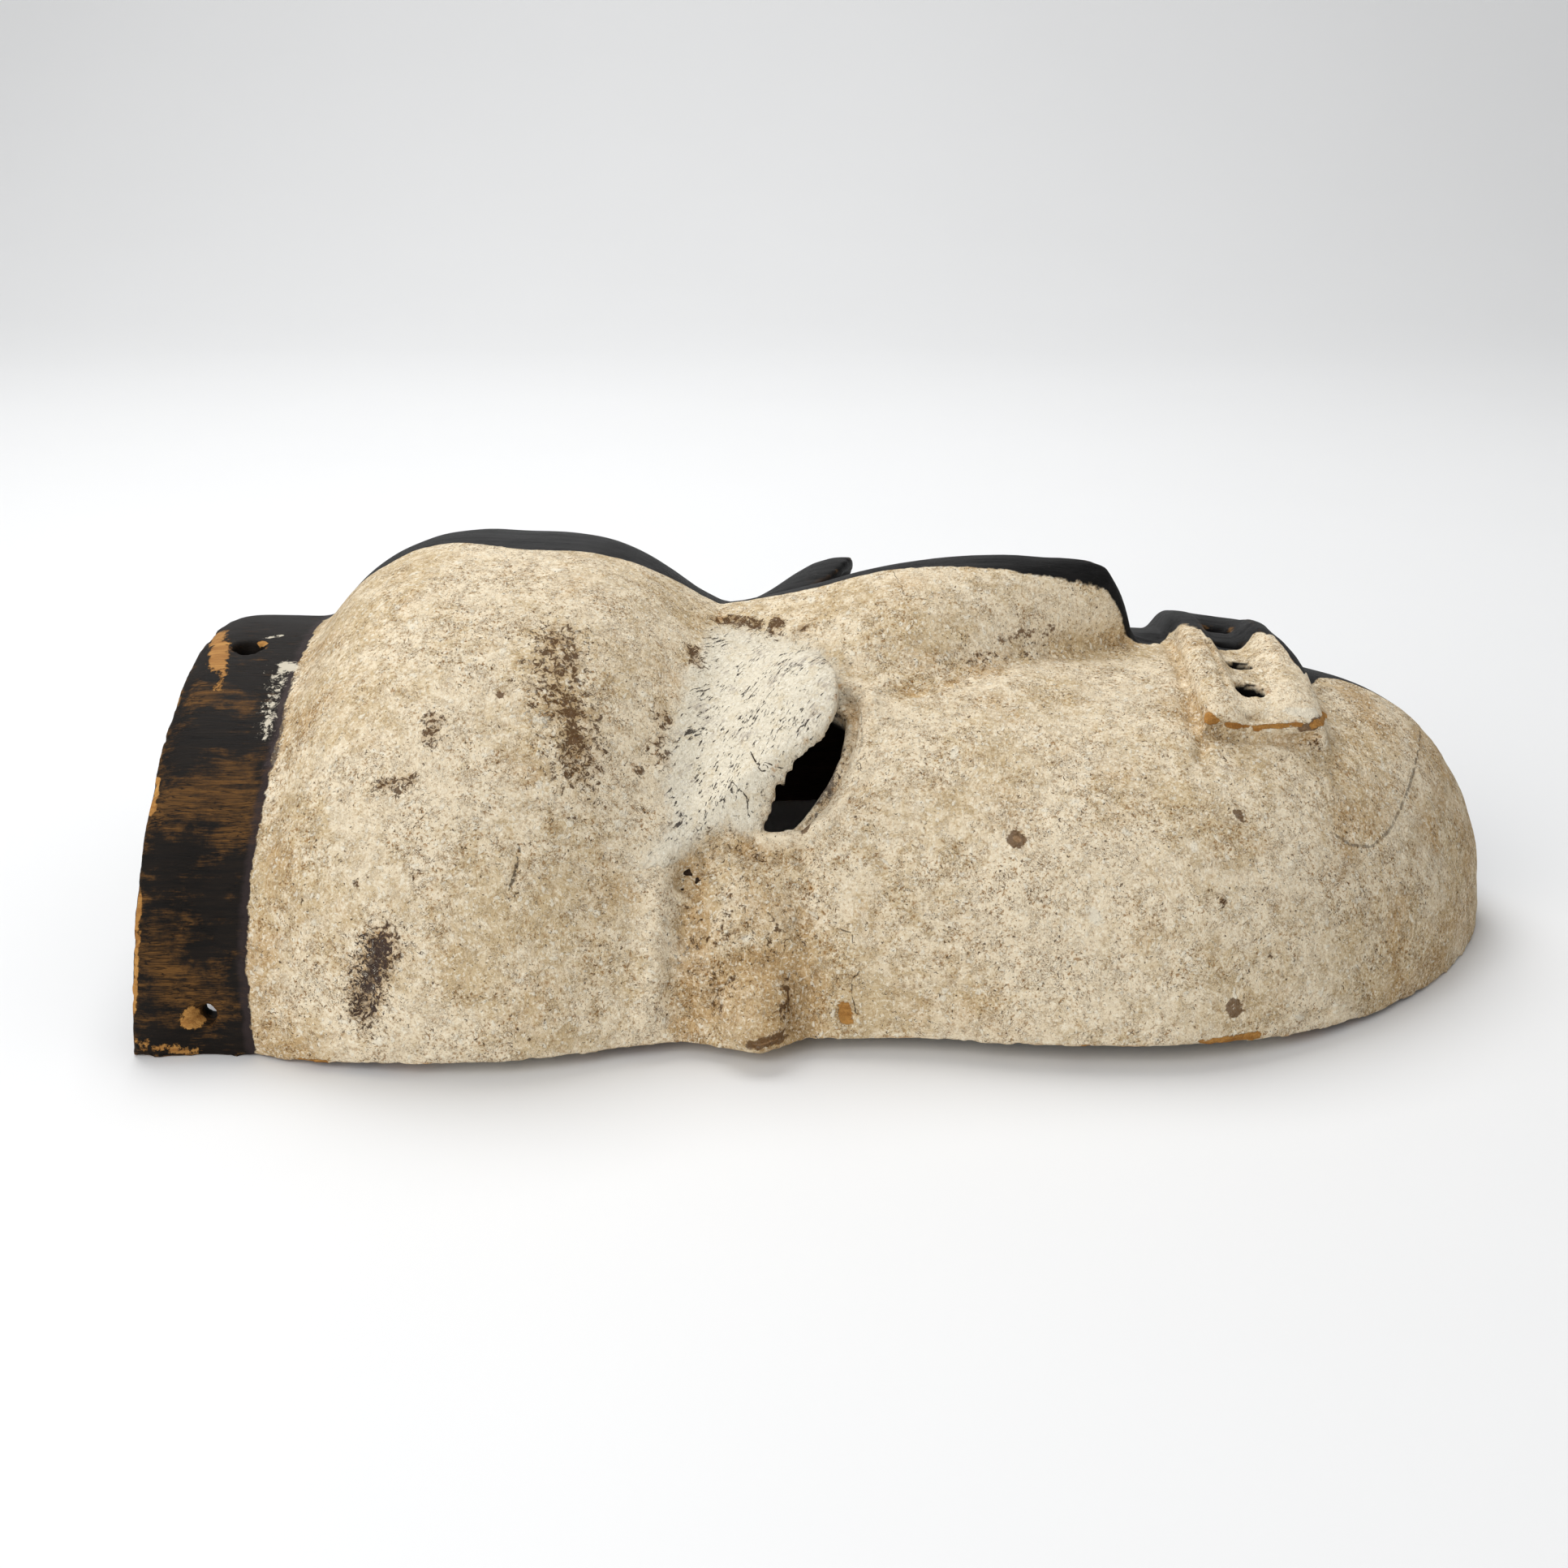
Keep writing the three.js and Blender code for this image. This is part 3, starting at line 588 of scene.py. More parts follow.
def copy_of_node(node, name):
    """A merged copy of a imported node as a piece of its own."""
    only_active(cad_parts[node])
    bpy.ops.object.duplicate()
    piece = bpy.context.active_object
    piece.name = piece.data.name = name
    piece.parent = None
    for key in list(piece.keys()):
        del piece[key]
    bpy.ops.object.mode_set(mode="EDIT")
    bpy.ops.mesh.select_all(action="SELECT")
    bpy.ops.mesh.remove_doubles(threshold=0.00001)
    bpy.ops.object.mode_set(mode="OBJECT")
    return piece


def melt_facets(mesh, block, sizes):
    """Evens out the block's flat facets and leaves its sharp edges only worn round."""
    step = sizes.grain * MM
    links = links_of(mesh)
    points = points_of(mesh)
    worn = averaged(points, links, rounds_for(sizes.round * MM, step))
    melted = evened(points, links, rounds_for(sizes.melt * MM, step))
    fine = evened(points, links, rounds_for(sizes.fine_melt * MM, step))
    share = averaged(fine_carving(points)[:, None], links, 6)
    melted = melted + share * (fine - melted)
    gap = gap_to(points, block.corners)
    crisp = 1 - ease(gap, 0.3 * sizes.crisp * MM, sizes.crisp * MM)
    crisp = np.maximum(crisp, ease(closed_in(points, outward_of(mesh), block), 0.4, 0.6))
    crisp = averaged(crisp[:, None], links, 4)
    put_points(mesh, melted + crisp * (worn - melted))


def evened(points, links, rounds):
    """Points with their facets evened out, but without shrinking."""
    soft = averaged(points, links, rounds)
    return soft + averaged(points - soft, links, rounds)


def fine_carving(points):
    """1 inside the boxes of the finer carving, fading to 0 within 4 mm of their sides."""
    share = np.zeros(len(points))
    for low, high in FINE_CARVING:
        depth = np.minimum(points - np.array(low), np.array(high) - points).min(axis=1)
        share = np.maximum(share, ease(depth, 0, 4))
    return share


def closed_in(points, outward, block, rays=28, reach=9.0):
    """The share of the view out of each point in a slot or a bored hole that the wood around it blocks."""
    turns = np.arange(rays) * math.pi * (3 - math.sqrt(5))
    heights = 1 - (2 * np.arange(rays) + 1) / rays
    wide = np.sqrt(1 - heights**2)
    ball = np.stack([wide * np.cos(turns), wide * np.sin(turns), heights], axis=1)
    share = np.zeros(len(points))
    pierced = np.zeros(len(points), bool)
    for low, high in PIERCED:
        pierced |= ((points > low) & (points < high)).all(axis=1)
    for k in np.flatnonzero(pierced):
        start = Vector(points[k] + 0.5 * outward[k])
        ways = [Vector(way + 1.02 * outward[k]).normalized() for way in ball]
        share[k] = sum(block.tree.ray_cast(start, way, reach)[0] is not None for way in ways) / rays
    return share


def in_hollow(points, block):
    """1 for points on the wall of the hollow and 0 for the rest."""
    return np.array([block.tree.find_nearest(p)[2] in block.hollow for p in points], float)


def tapered_holes(points):
    """Tapers the band's side holes towards the hollow and leads them away from the crown."""
    off = points[:, [0, 2]] - np.array(SIDE_HOLE)
    wall = BAND_HALF_WIDTH - np.abs(points[:, 1])
    share = (1 - ease(np.hypot(*off.T), 3.7, 5.6)) * ease(wall, 1, 5)
    shift = np.stack([1.6 - 0.38 * off[:, 0], np.zeros(len(points)), -0.38 * off[:, 1]], axis=1)
    return points + share[:, None] * shift


def carve_relief(mesh, block, sizes):
    """Presses the knife's waves, the gouge marks, the crust, the chips and the grooves into the surface."""
    points = points_of(mesh)
    outward = outward_of(mesh)
    links = links_of(mesh)
    inside = averaged(in_hollow(points, block)[:, None], links, 4)[:, 0]
    gap = gap_to(points, block.arrises)
    pale = ease(along(points[:, 0], PAINT_EDGE) - points[:, 1], -1, 1) * ease(points[:, 0] + 130, -1, 1)

    height = (1 - inside) * sizes.waves * MM * rough(points, 17, seed=3, layers=2)
    height += (1 - inside) * pale * sizes.crust * MM * rough(points, 2.6, seed=9)
    turn = np.arctan2(points[:, 1], points[:, 2] + 25) * 75
    flow = np.stack([points[:, 0] / 2.3, turn, np.hypot(points[:, 1], points[:, 2] + 25) / 4], axis=1)
    height += inside * sizes.gouge * MM * (scallops(flow, 8.5, seed=5) ** 2 - 0.45)
    bitten = ease(rough(points, 5, seed=21), 0.25, 0.9) * (1 - ease(gap, 0.2, 2.2))
    height -= sizes.chips * MM * bitten
    height += 0.12 * noise(points, 1.9, seed=31) * (1 - ease(gap, 0.2, 1.5))
    ragged = 1 + 0.35 * noise(points, 1.7, seed=41)
    for groove in GROOVES.values():
        away = distance_to(points, block.route_of(groove)) / groove.half_width
        height -= (1 - inside) * groove.depth * ragged * np.exp(-(away**2))
    put_points(mesh, tapered_holes(points + outward * height[:, None]))


def keep_in_box(mesh):
    """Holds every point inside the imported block's own box, and the rim on the ground."""
    low, high = (np.array(corner) * MM for corner in CAD_BOX)
    put_points(mesh, np.clip(points_of(mesh), low, high))


def add_values(mesh, name, values):
    """Stores one number for each point, which the material reads by name."""
    mesh.attributes.new(name, "FLOAT", "POINT").data.foreach_set("value", np.asarray(values, np.float32))


def inside_outline(spots, outline):
    """Signed distance of flat spots to a closed outline: above 0 inside it."""
    loop = np.array(outline, float)
    least = np.full(len(spots), 1e9)
    crossings = np.zeros(len(spots), int)
    for a, b in zip(loop, np.roll(loop, -1, axis=0)):
        span = b - a
        share = np.clip((spots - a) @ span / (span @ span), 0, 1)
        least = np.minimum(least, np.linalg.norm(spots - a - share[:, None] * span, axis=1))
        spans = (a[1] > spots[:, 1]) != (b[1] > spots[:, 1])
        rise = b[1] - a[1] if abs(b[1] - a[1]) > 1e-9 else 1e-9
        crossings += spans & (spots[:, 0] < a[0] + span[0] * (spots[:, 1] - a[1]) / rise)
    return np.where(crossings % 2 == 1, least, -least)


# The finished surface: its points, the way out of the wood at each, 1 in the hollow, and the gap to an arris
Skin = namedtuple("Skin", "points outward hollow gap")


def store_paint(mesh, block):
    """Stores where each paint, mark and line lies."""
    points = points_of(mesh)
    skin = Skin(points, outward_of(mesh), in_hollow(points, block), gap_to(points, block.arrises))
    store_borders(mesh, skin)
    # Painted shade on the walls of the openings, which the material lays on near black
    add_values(mesh, "painted_opening_shade", shaded_openings(skin, block))
    # Dirt, and painted shade in grooves and creases
    add_values(mesh, "soil_and_shade", soil_and_shade_at(points, block))
    store_marks(mesh, block, skin)
    store_lines(mesh, block, skin)


def store_borders(mesh, skin):
    """Stores how far each point lies inside the pale half, the face, the hollow and the lid."""
    points = skin.points
    places, edges = np.array(PAINT_EDGE, float).T
    steep = np.interp(points[:, 0], places, np.abs(np.gradient(edges, places)))
    pale = (along(points[:, 0], PAINT_EDGE) - points[:, 1]) / np.hypot(1, steep)
    add_values(mesh, "pale", np.clip(pale, -FAR, FAR))
    add_values(mesh, "face", np.clip(points[:, 0] - along(points[:, 2], BAND_EDGE), -FAR, FAR))
    add_values(mesh, "hollow", np.clip(np.where(skin.hollow > 0, skin.gap, -skin.gap), -6, 6))
    under = ease(-skin.outward[:, 2], 0.8, 0.95) * (points[:, 2] < 3)
    add_values(mesh, "rim", (1 - skin.hollow) * under)
    add_values(mesh, "arris", np.clip(skin.gap, 0, 6))
    soft = averaged(points, links_of(mesh), 10)
    add_values(mesh, "bulge", ((points - soft) * skin.outward).sum(1))
    lid = inside_outline(pixels_of(points), LID_OUTLINE) / PIXELS_PER_MM
    shown = (skin.hollow < 1) & (points[:, 1] < 0) & (points[:, 2] > 40)
    add_values(mesh, "lid", np.where(shown, np.clip(lid, -FAR, FAR), -FAR))


def in_eye(points):
    """How deep each point lies in the pale side's eye opening, in millimetres, and 1 near it fading to 0."""
    off = points - np.array(EYE["middle"])
    near = ease(-np.linalg.norm(off, axis=1), -EYE["reach"], 3 - EYE["reach"])
    return -off @ np.array(EYE["out"]), near


def shaded_openings(skin, block):
    """Painted shade: 1 on the walls of the eye opening, the slots and the bored holes, and 0 on the rest."""
    points = skin.points
    depth, near = in_eye(points)
    wall = 1 - ease(skin.outward @ np.array(EYE["out"]), 0.25, 0.6)
    closed = ease(closed_in(points, skin.outward, block), 0.4, 0.58)
    at_mouth = ease(points[:, 0], 70, 72)
    at_band = ease(-points[:, 0], 130, 132) * ease(points[:, 2], 40, 42)
    dark = np.maximum(near * wall * ease(depth, 5.5, 9.0), closed * (at_mouth + at_band))
    return (1 - skin.hollow) * dark


def painted_bevel_shade(skin):
    """Painted shade: 1 on the slope down into the pale side's eye opening, fading to 0 around it."""
    depth, near = in_eye(skin.points)
    slope = near * ease(skin.points[:, 0], -16, -5) * ease(depth, 1.6, 4.2)
    return slope * np.exp(-((skin.gap / 3.4) ** 2))


def soil_and_shade_at(points, block):
    """Dirt round the ears and at both ends of the face, and dirt and painted shade in the grooves."""
    x, y, z = EAR_PLACE
    ears = [np.linalg.norm(points - (x, side * y, z), axis=1) for side in (-1, 1)]
    soil_and_shade = 0.9 * np.exp(-((np.minimum(*ears) / 17) ** 2)) + 0.4 * ease(points[:, 0], 95, 125)
    soil_and_shade += 0.35 * ease(-points[:, 0], 108, 122)
    # Grooves get more soil, partly dirt and partly painted shade; ridges get less, a painted lighter tone.
    for groove in GROOVES.values():
        away = distance_to(points, block.route_of(groove)) / groove.half_width
        soil_and_shade += 0.45 * np.clip(groove.depth, -1, 1) * np.exp(-(away**2))
    return soil_and_shade


def store_marks(mesh, block, skin):
    """Stores how strong each kind of mark is at each point, with wavering outlines."""
    points = skin.points
    wobble = np.stack([noise(points, 1.8, seed) for seed in (61, 62, 63)], axis=1)
    kinds = {mark.kind: np.zeros(len(points)) for mark in MARKS.values()}
    # Painted shade on the slope into the pale eye opening, laid on with the soot colour
    kinds["soot_and_shade"] = 0.95 * painted_bevel_shade(skin)
    kinds["rub"] = 0.42 * ease(-points[:, 0], 149, 157)
    for mark in MARKS.values():
        spots = points + wobble * min(0.9, 0.22 * mark.half_width)
        away = distance_to(spots, block.route_of(mark)) / mark.half_width
        kinds[mark.kind] = np.maximum(kinds[mark.kind], mark.strength * np.exp(-0.7 * away**2))
    for kind, values in kinds.items():
        add_values(mesh, kind, values * (1 - skin.hollow))


def store_lines(mesh, block, skin):
    """Stores how far each point is to the side of the nearest fine line, its half width and its darkness."""
    points = skin.points
    side, near, width, dark = (np.full(len(points), value) for value in (4.0, 0.0, 0.2, 0.0))
    best = np.full(len(points), 4.0)
    for line in LINES.values():
        route = block.route_of(line)
        away = distance_to(points, route)
        closer = away < best
        best = np.where(closer, away, best)
        side = np.where(closer, away * side_of(points, skin.outward, route), side)
        near = np.where(closer, np.clip(1 - away / 2, 0, 1), near)
        width = np.where(closer, line.half_width, width)
        dark = np.where(closer, line.darkness, dark)
    stored = {"line_side": side, "line_near": near, "line_width": width, "line_dark": dark}
    for name, values in stored.items():
        add_values(mesh, name, values)


def side_of(points, outward, route):
    """1 on the left of a route that lies on the surface and -1 on its right."""
    least = np.full(len(points), 1e9)
    side = np.ones(len(points))
    for a, b in zip(route, route[1:]):
        span = b - a
        share = np.clip((points - a) @ span / max(span @ span, 1e-9), 0, 1)
        off = points - a - share[:, None] * span
        away = np.linalg.norm(off, axis=1)
        turned = np.sign((np.cross(span, off) * outward).sum(1) + 1e-12)
        side = np.where(away < least - 1e-6, turned, side)
        least = np.minimum(least, away)
    return side


class Nodes:
    """Short ways to add nodes to a shader tree and to join them."""

    def __init__(self, tree):
        self.tree = tree
        self.column = 0

    def set(self, socket, value):
        """Joins a socket to another one, or gives it a constant value."""
        if isinstance(value, bpy.types.NodeSocket):
            self.tree.links.new(value, socket)
        else:
            socket.default_value = value

    def add(self, kind, values=(), **settings):
        """A new node with its inputs filled in."""
        node = self.tree.nodes.new(kind)
        self.column += 1
        node.location = (180 * (self.column % 12), -220 * (self.column // 12))
        for name, value in settings.items():
            setattr(node, name, value)
        for key, value in dict(values).items():
            self.set(node.inputs[key], value)
        return node

    def math(self, operation, a, b=0.0):
        return self.add("ShaderNodeMath", {0: a, 1: b}, operation=operation).outputs[0]

    def plus(self, a, b):
        return self.math("ADD", a, b)

    def minus(self, a, b):
        return self.math("SUBTRACT", a, b)

    def times(self, a, b):
        return self.math("MULTIPLY", a, b)

    def swing(self, value, amount):
        """A value from 0 to 1 turned into one that swings round 0 by half the amount."""
        return self.times(self.minus(value, 0.5), amount)

    def vector(self, operation, a, b):
        return self.add("ShaderNodeVectorMath", {0: a, 1: b}, operation=operation).outputs[0]

    def step(self, value, low, high):
        """A soft step from 0 to 1 while the value goes from low to high."""
        values = {"Value": value, "From Min": low, "From Max": high}
        return self.add("ShaderNodeMapRange", values, interpolation_type="SMOOTHSTEP").outputs["Result"]

    def noise(self, place, size, detail=3.0, rough=0.55, bend=0.0):
        """Cloudy noise from 0 to 1 with clouds of about one size, in millimetres."""
        values = {"Vector": place, "Scale": 1 / size, "Detail": detail, "Roughness": rough}
        return self.add("ShaderNodeTexNoise", {**values, "Distortion": bend}).outputs["Fac"]

    def cells(self, place, size):
        """Scattered cells of one size: how far a place is from their middles, and a colour for each."""
        return self.add("ShaderNodeTexVoronoi", {"Vector": place, "Scale": 1 / size})

    def mix(self, share, a, b):
        """A colour between two colours."""
        node = self.add("ShaderNodeMix", data_type="RGBA")
        self.set(node.inputs["Factor"], share)
        self.set(node.inputs[6], a)
        self.set(node.inputs[7], b)
        return node.outputs[2]

    def blend(self, share, a, b):
        """A number between two numbers."""
        node = self.add("ShaderNodeMix", data_type="FLOAT")
        self.set(node.inputs["Factor"], share)
        self.set(node.inputs[2], a)
        self.set(node.inputs[3], b)
        return node.outputs[0]

    def attribute(self, name):
        """A number that is stored at the points of the mesh."""
        return self.add("ShaderNodeAttribute", attribute_name=name).outputs["Fac"]

    def placed(self, tree, values):
        """The outputs of a node group, with its inputs filled in."""
        node = self.add("ShaderNodeGroup")
        node.node_tree = tree
        for name, value in values.items():
            self.set(node.inputs[name], value)
        return node.outputs


SOCKETS = {"value": "NodeSocketFloat", "colour": "NodeSocketColor", "place": "NodeSocketVector"}


def new_group(name, inputs, outputs):
    """An empty node group with named inputs and outputs, given as name and kind."""
    tree = bpy.data.node_groups.new(name, "ShaderNodeTree")
    for label, kind in inputs.items():
        tree.interface.new_socket(label, in_out="INPUT", socket_type=SOCKETS[kind])
    for label, kind in outputs.items():
        tree.interface.new_socket(label, in_out="OUTPUT", socket_type=SOCKETS[kind])
    nodes = Nodes(tree)
    return tree, nodes, nodes.add("NodeGroupInput").outputs, nodes.add("NodeGroupOutput").inputs


def rgba(colour):
    """A linear colour with its opacity."""
    return (*colour, 1.0)


def shade(red, green, blue):
    """A colour as a screen shows it, ready for a colour socket."""
    return rgba(screen(red, green, blue))


def ragged_group():
    """A crisp but ragged border where a stored distance or strength passes a limit."""
    inputs = {"Place": "place"} | dict.fromkeys(("Value", "Limit", "Reach", "Size", "Soft"), "value")
    tree, n, given, out = new_group("Ragged border", inputs, {"Mask": "value"})
    coarse = n.add("ShaderNodeTexNoise", {"Vector": given["Place"], "Detail": 5.0, "Roughness": 0.65})
    n.set(coarse.inputs["Scale"], n.math("DIVIDE", 1.0, given["Size"]))
    shift = n.swing(coarse.outputs["Fac"], given["Reach"])
    past = n.minus(n.plus(given["Value"], shift), given["Limit"])
    share = n.math("DIVIDE", past, given["Soft"])
    n.set(out["Mask"], n.step(share, -1.0, 1.0))
    return tree


def kaolin_group():
    """Brushed kaolin: streaks, grit with some painted shade and light, cracks, pale grains, brown wear, crumb
    height.
    """
    inputs = {"Place": "place", "Clean": "colour", "Dull": "colour", "Pit": "colour", "Soil and shade": "value"}
    tree, n, given, out = new_group("Kaolin", inputs, {"Colour": "colour", "Height": "value"})
    place, soil_and_shade = given["Place"], given["Soil and shade"]
    turn = n.add("ShaderNodeTexNoise", {"Vector": place, "Scale": 1 / 26, "Detail": 2.0}).outputs["Color"]
    push = n.vector("MULTIPLY", n.vector("SUBTRACT", turn, (0.5, 0.5, 0.5)), (20.0, 20.0, 20.0))
    bent = n.vector("ADD", place, push)
    streak = brush_streaks(n, place, bent)
    mottle = n.noise(place, 3.4, 4.0, 0.6, 0.8)
    grit = n.noise(place, 0.72, 2.0, 0.7, 0.6)
    # The soil darkens and browns the kaolin; in grooves and creases it is partly painted shade.
    rough_patch = n.plus(n.step(n.noise(place, 11.0, 3.0, 0.6), 0.38, 0.62), n.times(soil_and_shade, 0.4))
    crowd = n.plus(n.times(rough_patch, 0.5), 0.45)

    tone = n.plus(n.noise(place, 24.0, 3.0, 0.6), n.swing(mottle, 0.8))
    colour = n.mix(n.step(n.plus(tone, n.times(soil_and_shade, 0.25)), 0.4, 0.72), given["Clean"], given["Dull"])
    wear = n.plus(n.noise(place, 15.0, 4.0, 0.62), n.swing(streak, 0.8))
    wear = n.step(n.plus(wear, n.times(soil_and_shade, 0.3)), 0.54, 0.8)
    colour = n.mix(n.times(wear, 0.6), colour, shade(184, 146, 92))
    colour = n.mix(n.times(n.step(streak, 0.46, 0.3), 0.4), colour, shade(170, 138, 92))
    colour = n.mix(n.times(n.step(streak, 0.56, 0.7), 0.5), colour, shade(240, 229, 202))

    # Dark grit specks: partly brown grit, partly painted shade in the pits between the grains.
    dark = n.times(n.step(grit, 0.45, 0.34), n.times(crowd, 0.85))
    colour = n.mix(dark, colour, shade(150, 108, 58))
    # Light grit specks: partly pale grit, partly painted highlights on the grain tops.
    colour = n.mix(n.times(n.step(grit, 0.54, 0.64), 0.6), colour, shade(250, 241, 220))
    crack = curled_cracks(n, place, crowd)
    colour = n.mix(n.times(crack, 0.75), colour, shade(118, 78, 36))
    chip = pale_grains(n, place, bent)
    colour = n.mix(n.times(chip, 0.75), colour, shade(242, 233, 212))
    spots = n.plus(n.noise(place, 0.62, 2.0, 0.6, 0.8), n.times(crowd, 0.06))
    pits = n.math("MAXIMUM", n.step(spots, 0.69, 0.73), n.step(n.noise(place, 1.6, 3.0, 0.6, 1.2), 0.7, 0.73))
    colour = n.mix(n.times(pits, 0.85), colour, given["Pit"])

    height = n.plus(n.swing(grit, 0.3), n.swing(mottle, 0.5))
    height = n.plus(height, n.swing(streak, 0.25))
    height = n.plus(height, n.times(chip, 0.1))
    height = n.minus(height, n.times(n.plus(pits, crack), 0.07))
    n.set(out["Colour"], colour)
    n.set(out["Height"], height)
    return tree


def brush_streaks(n, place, bent):
    """Streaks that a brush left round the head in some patches and along it in others."""
    round_head = n.noise(n.vector("MULTIPLY", bent, (1.9, 0.3, 0.3)), 1.0, 3.0, 0.65)
    lengthwise = n.noise(n.vector("MULTIPLY", bent, (0.3, 1.9, 1.9)), 1.0, 3.0, 0.65)
    return n.blend(n.step(n.noise(place, 34.0, 1.0), 0.42, 0.58), round_head, lengthwise)


def curled_cracks(n, place, crowd):
    """Fine curled cracks, denser where the kaolin is rough."""
    curl = n.noise(place, 0.95, 2.0, 0.6, 1.8)
    crack = n.step(n.math("ABSOLUTE", n.minus(curl, 0.5)), 0.034, 0.014)
    return n.times(n.times(crack, crowd), n.step(n.noise(place, 3.0, 3.0, 0.65), 0.44, 0.56))


def pale_grains(n, place, bent):
    """Scattered pale grains in two sizes."""
    wander = n.add("ShaderNodeTexNoise", {"Vector": place, "Scale": 0.9}).outputs["Color"]
    shaken = n.vector("ADD", bent, n.vector("MULTIPLY", wander, (1.4, 1.4, 1.4)))
    grains = 0.0
    for size, share, least in ((1.8, 0.6, 0.26), (7.5, 0.74, 0.14)):
        cells = n.cells(shaken, size)
        seeds = n.add("ShaderNodeSeparateColor", {0: cells.outputs["Color"]}).outputs
        chosen = n.step(seeds[0], share, share + 0.05)
        middle = n.step(cells.outputs["Distance"], least + 0.04, least - 0.04)
        grains = n.math("MAXIMUM", n.times(chosen, middle), grains)
    return grains


def crust_group():
    """Thick white kaolin on the lid, flaked along a slant and smeared with grey."""
    inputs = {"Place": "place", "Chalk": "colour", "Soot": "colour"}
    tree, n, given, out = new_group("Crust", inputs, {"Colour": "colour", "Height": "value"})
    place = given["Place"]
    lean = {"Vector": place, "Angle": math.radians(-50)}
    turned = n.add("ShaderNodeVectorRotate", lean, rotation_type="Z_AXIS").outputs[0]
    slant = n.vector("MULTIPLY", turned, (0.42, 1.9, 0.8))
    flake = n.noise(slant, 1.0, 4.0, 0.6, 0.5)
    crumb = n.noise(place, 1.2, 4.0, 0.7, 0.6)
    fine = n.noise(place, 0.62, 2.0, 0.7, 0.4)
    colour = n.mix(n.step(n.noise(place, 3.6, 4.0, 0.6), 0.5, 0.72), given["Chalk"], shade(222, 208, 180))
    smear = n.plus(n.noise(place, 6.5, 4.0, 0.62), n.swing(flake, 0.8))
    colour = n.mix(n.times(n.step(smear, 0.56, 0.7), 0.5), colour, shade(160, 148, 140))
    colour = n.mix(n.times(n.step(fine, 0.42, 0.3), 0.5), colour, shade(150, 134, 110))
    colour = n.mix(n.times(n.step(crumb, 0.42, 0.3), 0.6), colour, shade(150, 132, 104))
    colour = n.mix(n.times(n.step(fine, 0.54, 0.7), 0.6), colour, shade(255, 252, 240))
    patch = n.plus(n.swing(crumb, 0.3), n.swing(n.noise(place, 6.0), 0.5))
    lost = n.step(n.plus(flake, patch), 0.625, 0.665)
    colour = n.mix(n.times(lost, 0.9), colour, given["Soot"])
    height = n.plus(n.times(crumb, 0.55), n.times(fine, 0.2))
    height = n.plus(height, n.times(flake, 0.3))
    n.set(out["Colour"], colour)
    n.set(out["Height"], n.minus(height, n.times(lost, 0.3)))
    return tree


def grain_group():
    """Long fibres of wood that run along the mask: a tone from 0 to 1, thin dark cracks and a height."""
    inputs = {"Place": "place", "Width": "value", "Stretch": "value"}
    outputs = {"Tone": "value", "Cracks": "value", "Height": "value"}
    tree, n, given, out = new_group("Wood fibres", inputs, outputs)
    shrink = n.math("DIVIDE", 1.0, given["Stretch"])
    squeeze = n.add("ShaderNodeCombineXYZ", {0: shrink, 1: 1.0, 2: 1.0}).outputs[0]
    width = n.add("ShaderNodeCombineXYZ", {axis: given["Width"] for axis in range(3)}).outputs[0]
    bent = n.vector("DIVIDE", n.vector("MULTIPLY", given["Place"], squeeze), width)
    broad = n.noise(bent, 4.0, 3.0, 0.5, 0.3)
    fine = n.noise(bent, 1.0, 4.0, 0.7, 0.2)
    tone = n.plus(n.times(broad, 0.5), n.times(fine, 0.5))
    crack = n.step(n.math("ABSOLUTE", n.minus(n.noise(bent, 2.6, 2.0, 0.5, 0.4), 0.5)), 0.03, 0.006)
    crack = n.times(crack, n.step(n.noise(given["Place"], 7.0, 3.0), 0.45, 0.6))
    n.set(out["Tone"], n.step(tone, 0.3, 0.7))
    n.set(out["Cracks"], crack)
    n.set(out["Height"], n.minus(fine, n.times(crack, 0.6)))
    return tree


# What every layer of paint is drawn with: the tree, the place in millimetres, the colours and two groups
Ground = namedtuple("Ground", "n place colours ragged grain")


def border(ground, kind, limit, reach, size, soft):
    """A mask with a ragged edge, where a stored value passes a limit."""
    values = {"Place": ground.place, "Value": ground.n.attribute(kind), "Limit": limit, "Reach": reach}
    return ground.n.placed(ground.ragged, {**values, "Size": size, "Soft": soft})["Mask"]


def fibres_of(ground, width, stretch):
    """Wood fibres of one width in millimetres, stretched along the mask."""
    values = {"Place": ground.place, "Width": width, "Stretch": stretch}
    return ground.n.placed(ground.grain, values)


def pale_paint(ground, lid):
    """The kaolin, with the thick crust on the lid: its colour and its height."""
    n, place, colours = ground.n, ground.place, ground.colours
    # Concave creases get more soil: partly dirt, partly painted shade in the creases.
    creased = n.step(n.attribute("bulge"), -0.02, -0.2)
    soil_and_shade = n.plus(n.times(creased, 0.2), n.attribute("soil_and_shade"))
    clean = {"Clean": rgba(colours.kaolin), "Dull": rgba(colours.kaolin_dull), "Pit": rgba(colours.dirt)}
    chalk = n.placed(kaolin_group(), {"Place": place, **clean, "Soil and shade": soil_and_shade})
    crust = n.placed(crust_group(), {"Place": place, "Chalk": rgba(colours.chalk), "Soot": shade(50, 42, 40)})
    return n.mix(lid, chalk["Colour"], crust["Colour"]), n.blend(lid, chalk["Height"], crust["Height"])


